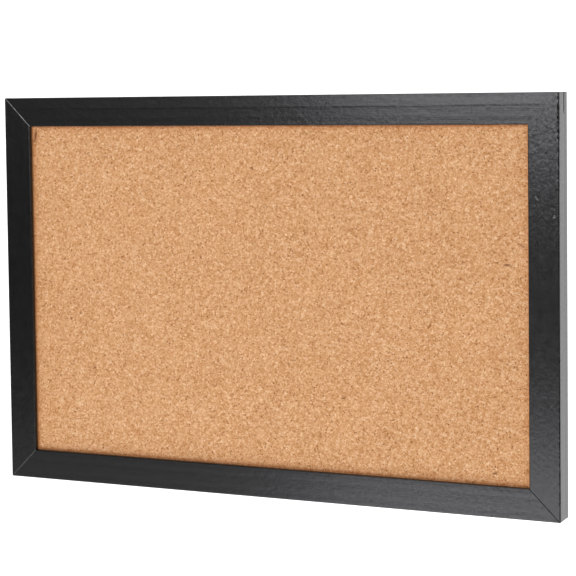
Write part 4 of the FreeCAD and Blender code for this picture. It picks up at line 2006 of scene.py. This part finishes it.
@dataclass
class Studio:
    """The floor, the white wall behind, the lights and the camera."""

    floor_level: float = -2.1
    wall_distance: float = 2.6
    room: float = 7.0
    floor_glow: float = 0.5
    wall_glow: float = 1.02
    ambient: str = "#1c1c1d"
    softboxes: tuple[Softbox, ...] = (
        Softbox("softbox_upper", -1.0, 15.9, 2.38, 1.85, 1.25, 5.5),
        Softbox("softbox_lower", -1.3, -26.3, 2.46, 1.9, 1.15, 4.4),
        Softbox("fill_upper", -30.0, 14.5, 2.62, 0.65, 1.2, 0.45),
        Softbox("fill_lower", -36.0, -23.5, 2.9, 1.3, 1.2, 0.8),
        Softbox("side_right", 96.0, 0.0, 2.8, 1.8, 2.2, 1.5),
        Softbox("side_left", -96.0, 0.0, 2.8, 1.8, 2.2, 1.5),
        Softbox("overhead", 180.0, 84.0, 2.8, 2.2, 1.8, 1.5),
    )
    camera_place: tuple[float, float, float] = (0.5948, -1.2730, 0.1514)
    camera_azimuth: float = 24.666
    camera_drop: float = 3.260
    camera_roll: float = -0.693
    lens: float = 117.5
    shift: float = -0.1528

    def build_world(self) -> None:
        """A white surround for the camera that casts only a dim grey on the board."""
        world = bpy.data.worlds.new("surround")
        bpy.context.scene.world = world
        world.use_nodes = True
        tree = world.node_tree
        tree.nodes.clear()
        seen = add(tree, "ShaderNodeLightPath").outputs["Is Camera Ray"]
        white = add(tree, "ShaderNodeBackground", {"Color": (1, 1, 1, 1), "Strength": 1.05})
        dim = add(tree, "ShaderNodeBackground", {"Color": linear(self.ambient)})
        mixed = add(tree, "ShaderNodeMixShader", {0: seen, 1: dim, 2: white})
        add(tree, "ShaderNodeOutputWorld", {0: mixed})

    def build_stage(self) -> None:
        """A pale floor well below the board and a white wall behind it."""
        half, far, low = self.room / 2, self.wall_distance, self.floor_level
        floor = ((-half, -half, low), (half, -half, low), (half, far, low), (-half, far, low))
        wall = ((-half, far, low), (half, far, low), (half, far, half), (-half, far, half))
        for name, corners, glow, code in (
            ("studio_floor", floor, self.floor_glow, "#e9e8e4"),
            ("studio_wall", wall, self.wall_glow, "#c8c8c8"),
        ):
            stage = mesh_object(name, np.array(corners), [(0, 1, 2, 3)])
            material = bpy.data.materials.new(stage.name)
            material.use_nodes = True
            feed(material.node_tree, material.node_tree.nodes["Principled BSDF"], {
                "Base Color": linear(code),
                "Roughness": 0.9,
                "Emission Color": (1, 1, 1, 1),
                "Emission Strength": glow,
            })
            dress(stage, material)

    def build_camera(self) -> None:
        """A long lens a little above the board's middle and well to its right."""
        data = bpy.data.cameras.new("view")
        data.lens = self.lens
        data.sensor_width = 36.0
        data.shift_y = self.shift
        data.clip_start = 0.05
        data.clip_end = 30.0
        camera = bpy.data.objects.new("view", data)
        camera.location = self.camera_place
        camera.rotation_mode = "QUATERNION"
        aim = -direction(self.camera_azimuth, self.camera_drop)
        level = aim.to_track_quat("-Z", "Y").to_matrix().to_4x4()
        roll = Matrix.Rotation(math.radians(self.camera_roll), 4, "Z")
        camera.rotation_quaternion = (level @ roll).to_quaternion()
        bpy.context.scene.collection.objects.link(camera)
        bpy.context.scene.camera = camera

    def build(self) -> None:
        """Builds the whole studio."""
        self.build_camera()
        self.build_world()
        self.build_stage()
        for softbox in self.softboxes:
            softbox.build()
        bpy.context.scene.view_settings.view_transform = "Standard"


def main() -> None:
    """Builds the board's pieces in order, then the studio."""
    logging.basicConfig(level=logging.INFO, format="%(name)s: %(message)s")
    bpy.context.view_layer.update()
    zinc = PlatedSteel("bright_zinc_plated_strip", "#aeb2b8", "#8b9098", 0.32).material()
    nickel = PlatedSteel("polished_nickel_plated_wire", "#c2bdb2", "#9a958b", 0.18).material()
    blued = PlatedSteel("blued_spring_steel_strip", "#5d6068", "#43464e", 0.35).material()
    softboard = PressedFibre("softboard", "#a8906a", "#cdb892", 0.9, 2.0, 0.15, 0.9).material()
    hardboard = PressedFibre("hardboard", "#5c3c26", "#8a6244", 1.1, 1.1, 0.10, 0.72).material()
    Frame(SatinBlackPaint("sprayed_satin_black_lacquer").material()).build()
    Panel(AgglomeratedCork("pressed_and_sanded_cork").material(), softboard, hardboard).build()
    rows = row_tree()
    RetainingPoints(zinc).build(rows)
    MitreNails(blued).build(rows)
    wires = wire_tree()
    for hand in ("left", "right"):
        Hanger(hand, zinc, nickel).build(wires)
        WallBumper(hand, MouldedRubber("bumper_rubber_" + hand).material()).build()
    Studio().build()


if __name__ == "__main__":
    main()
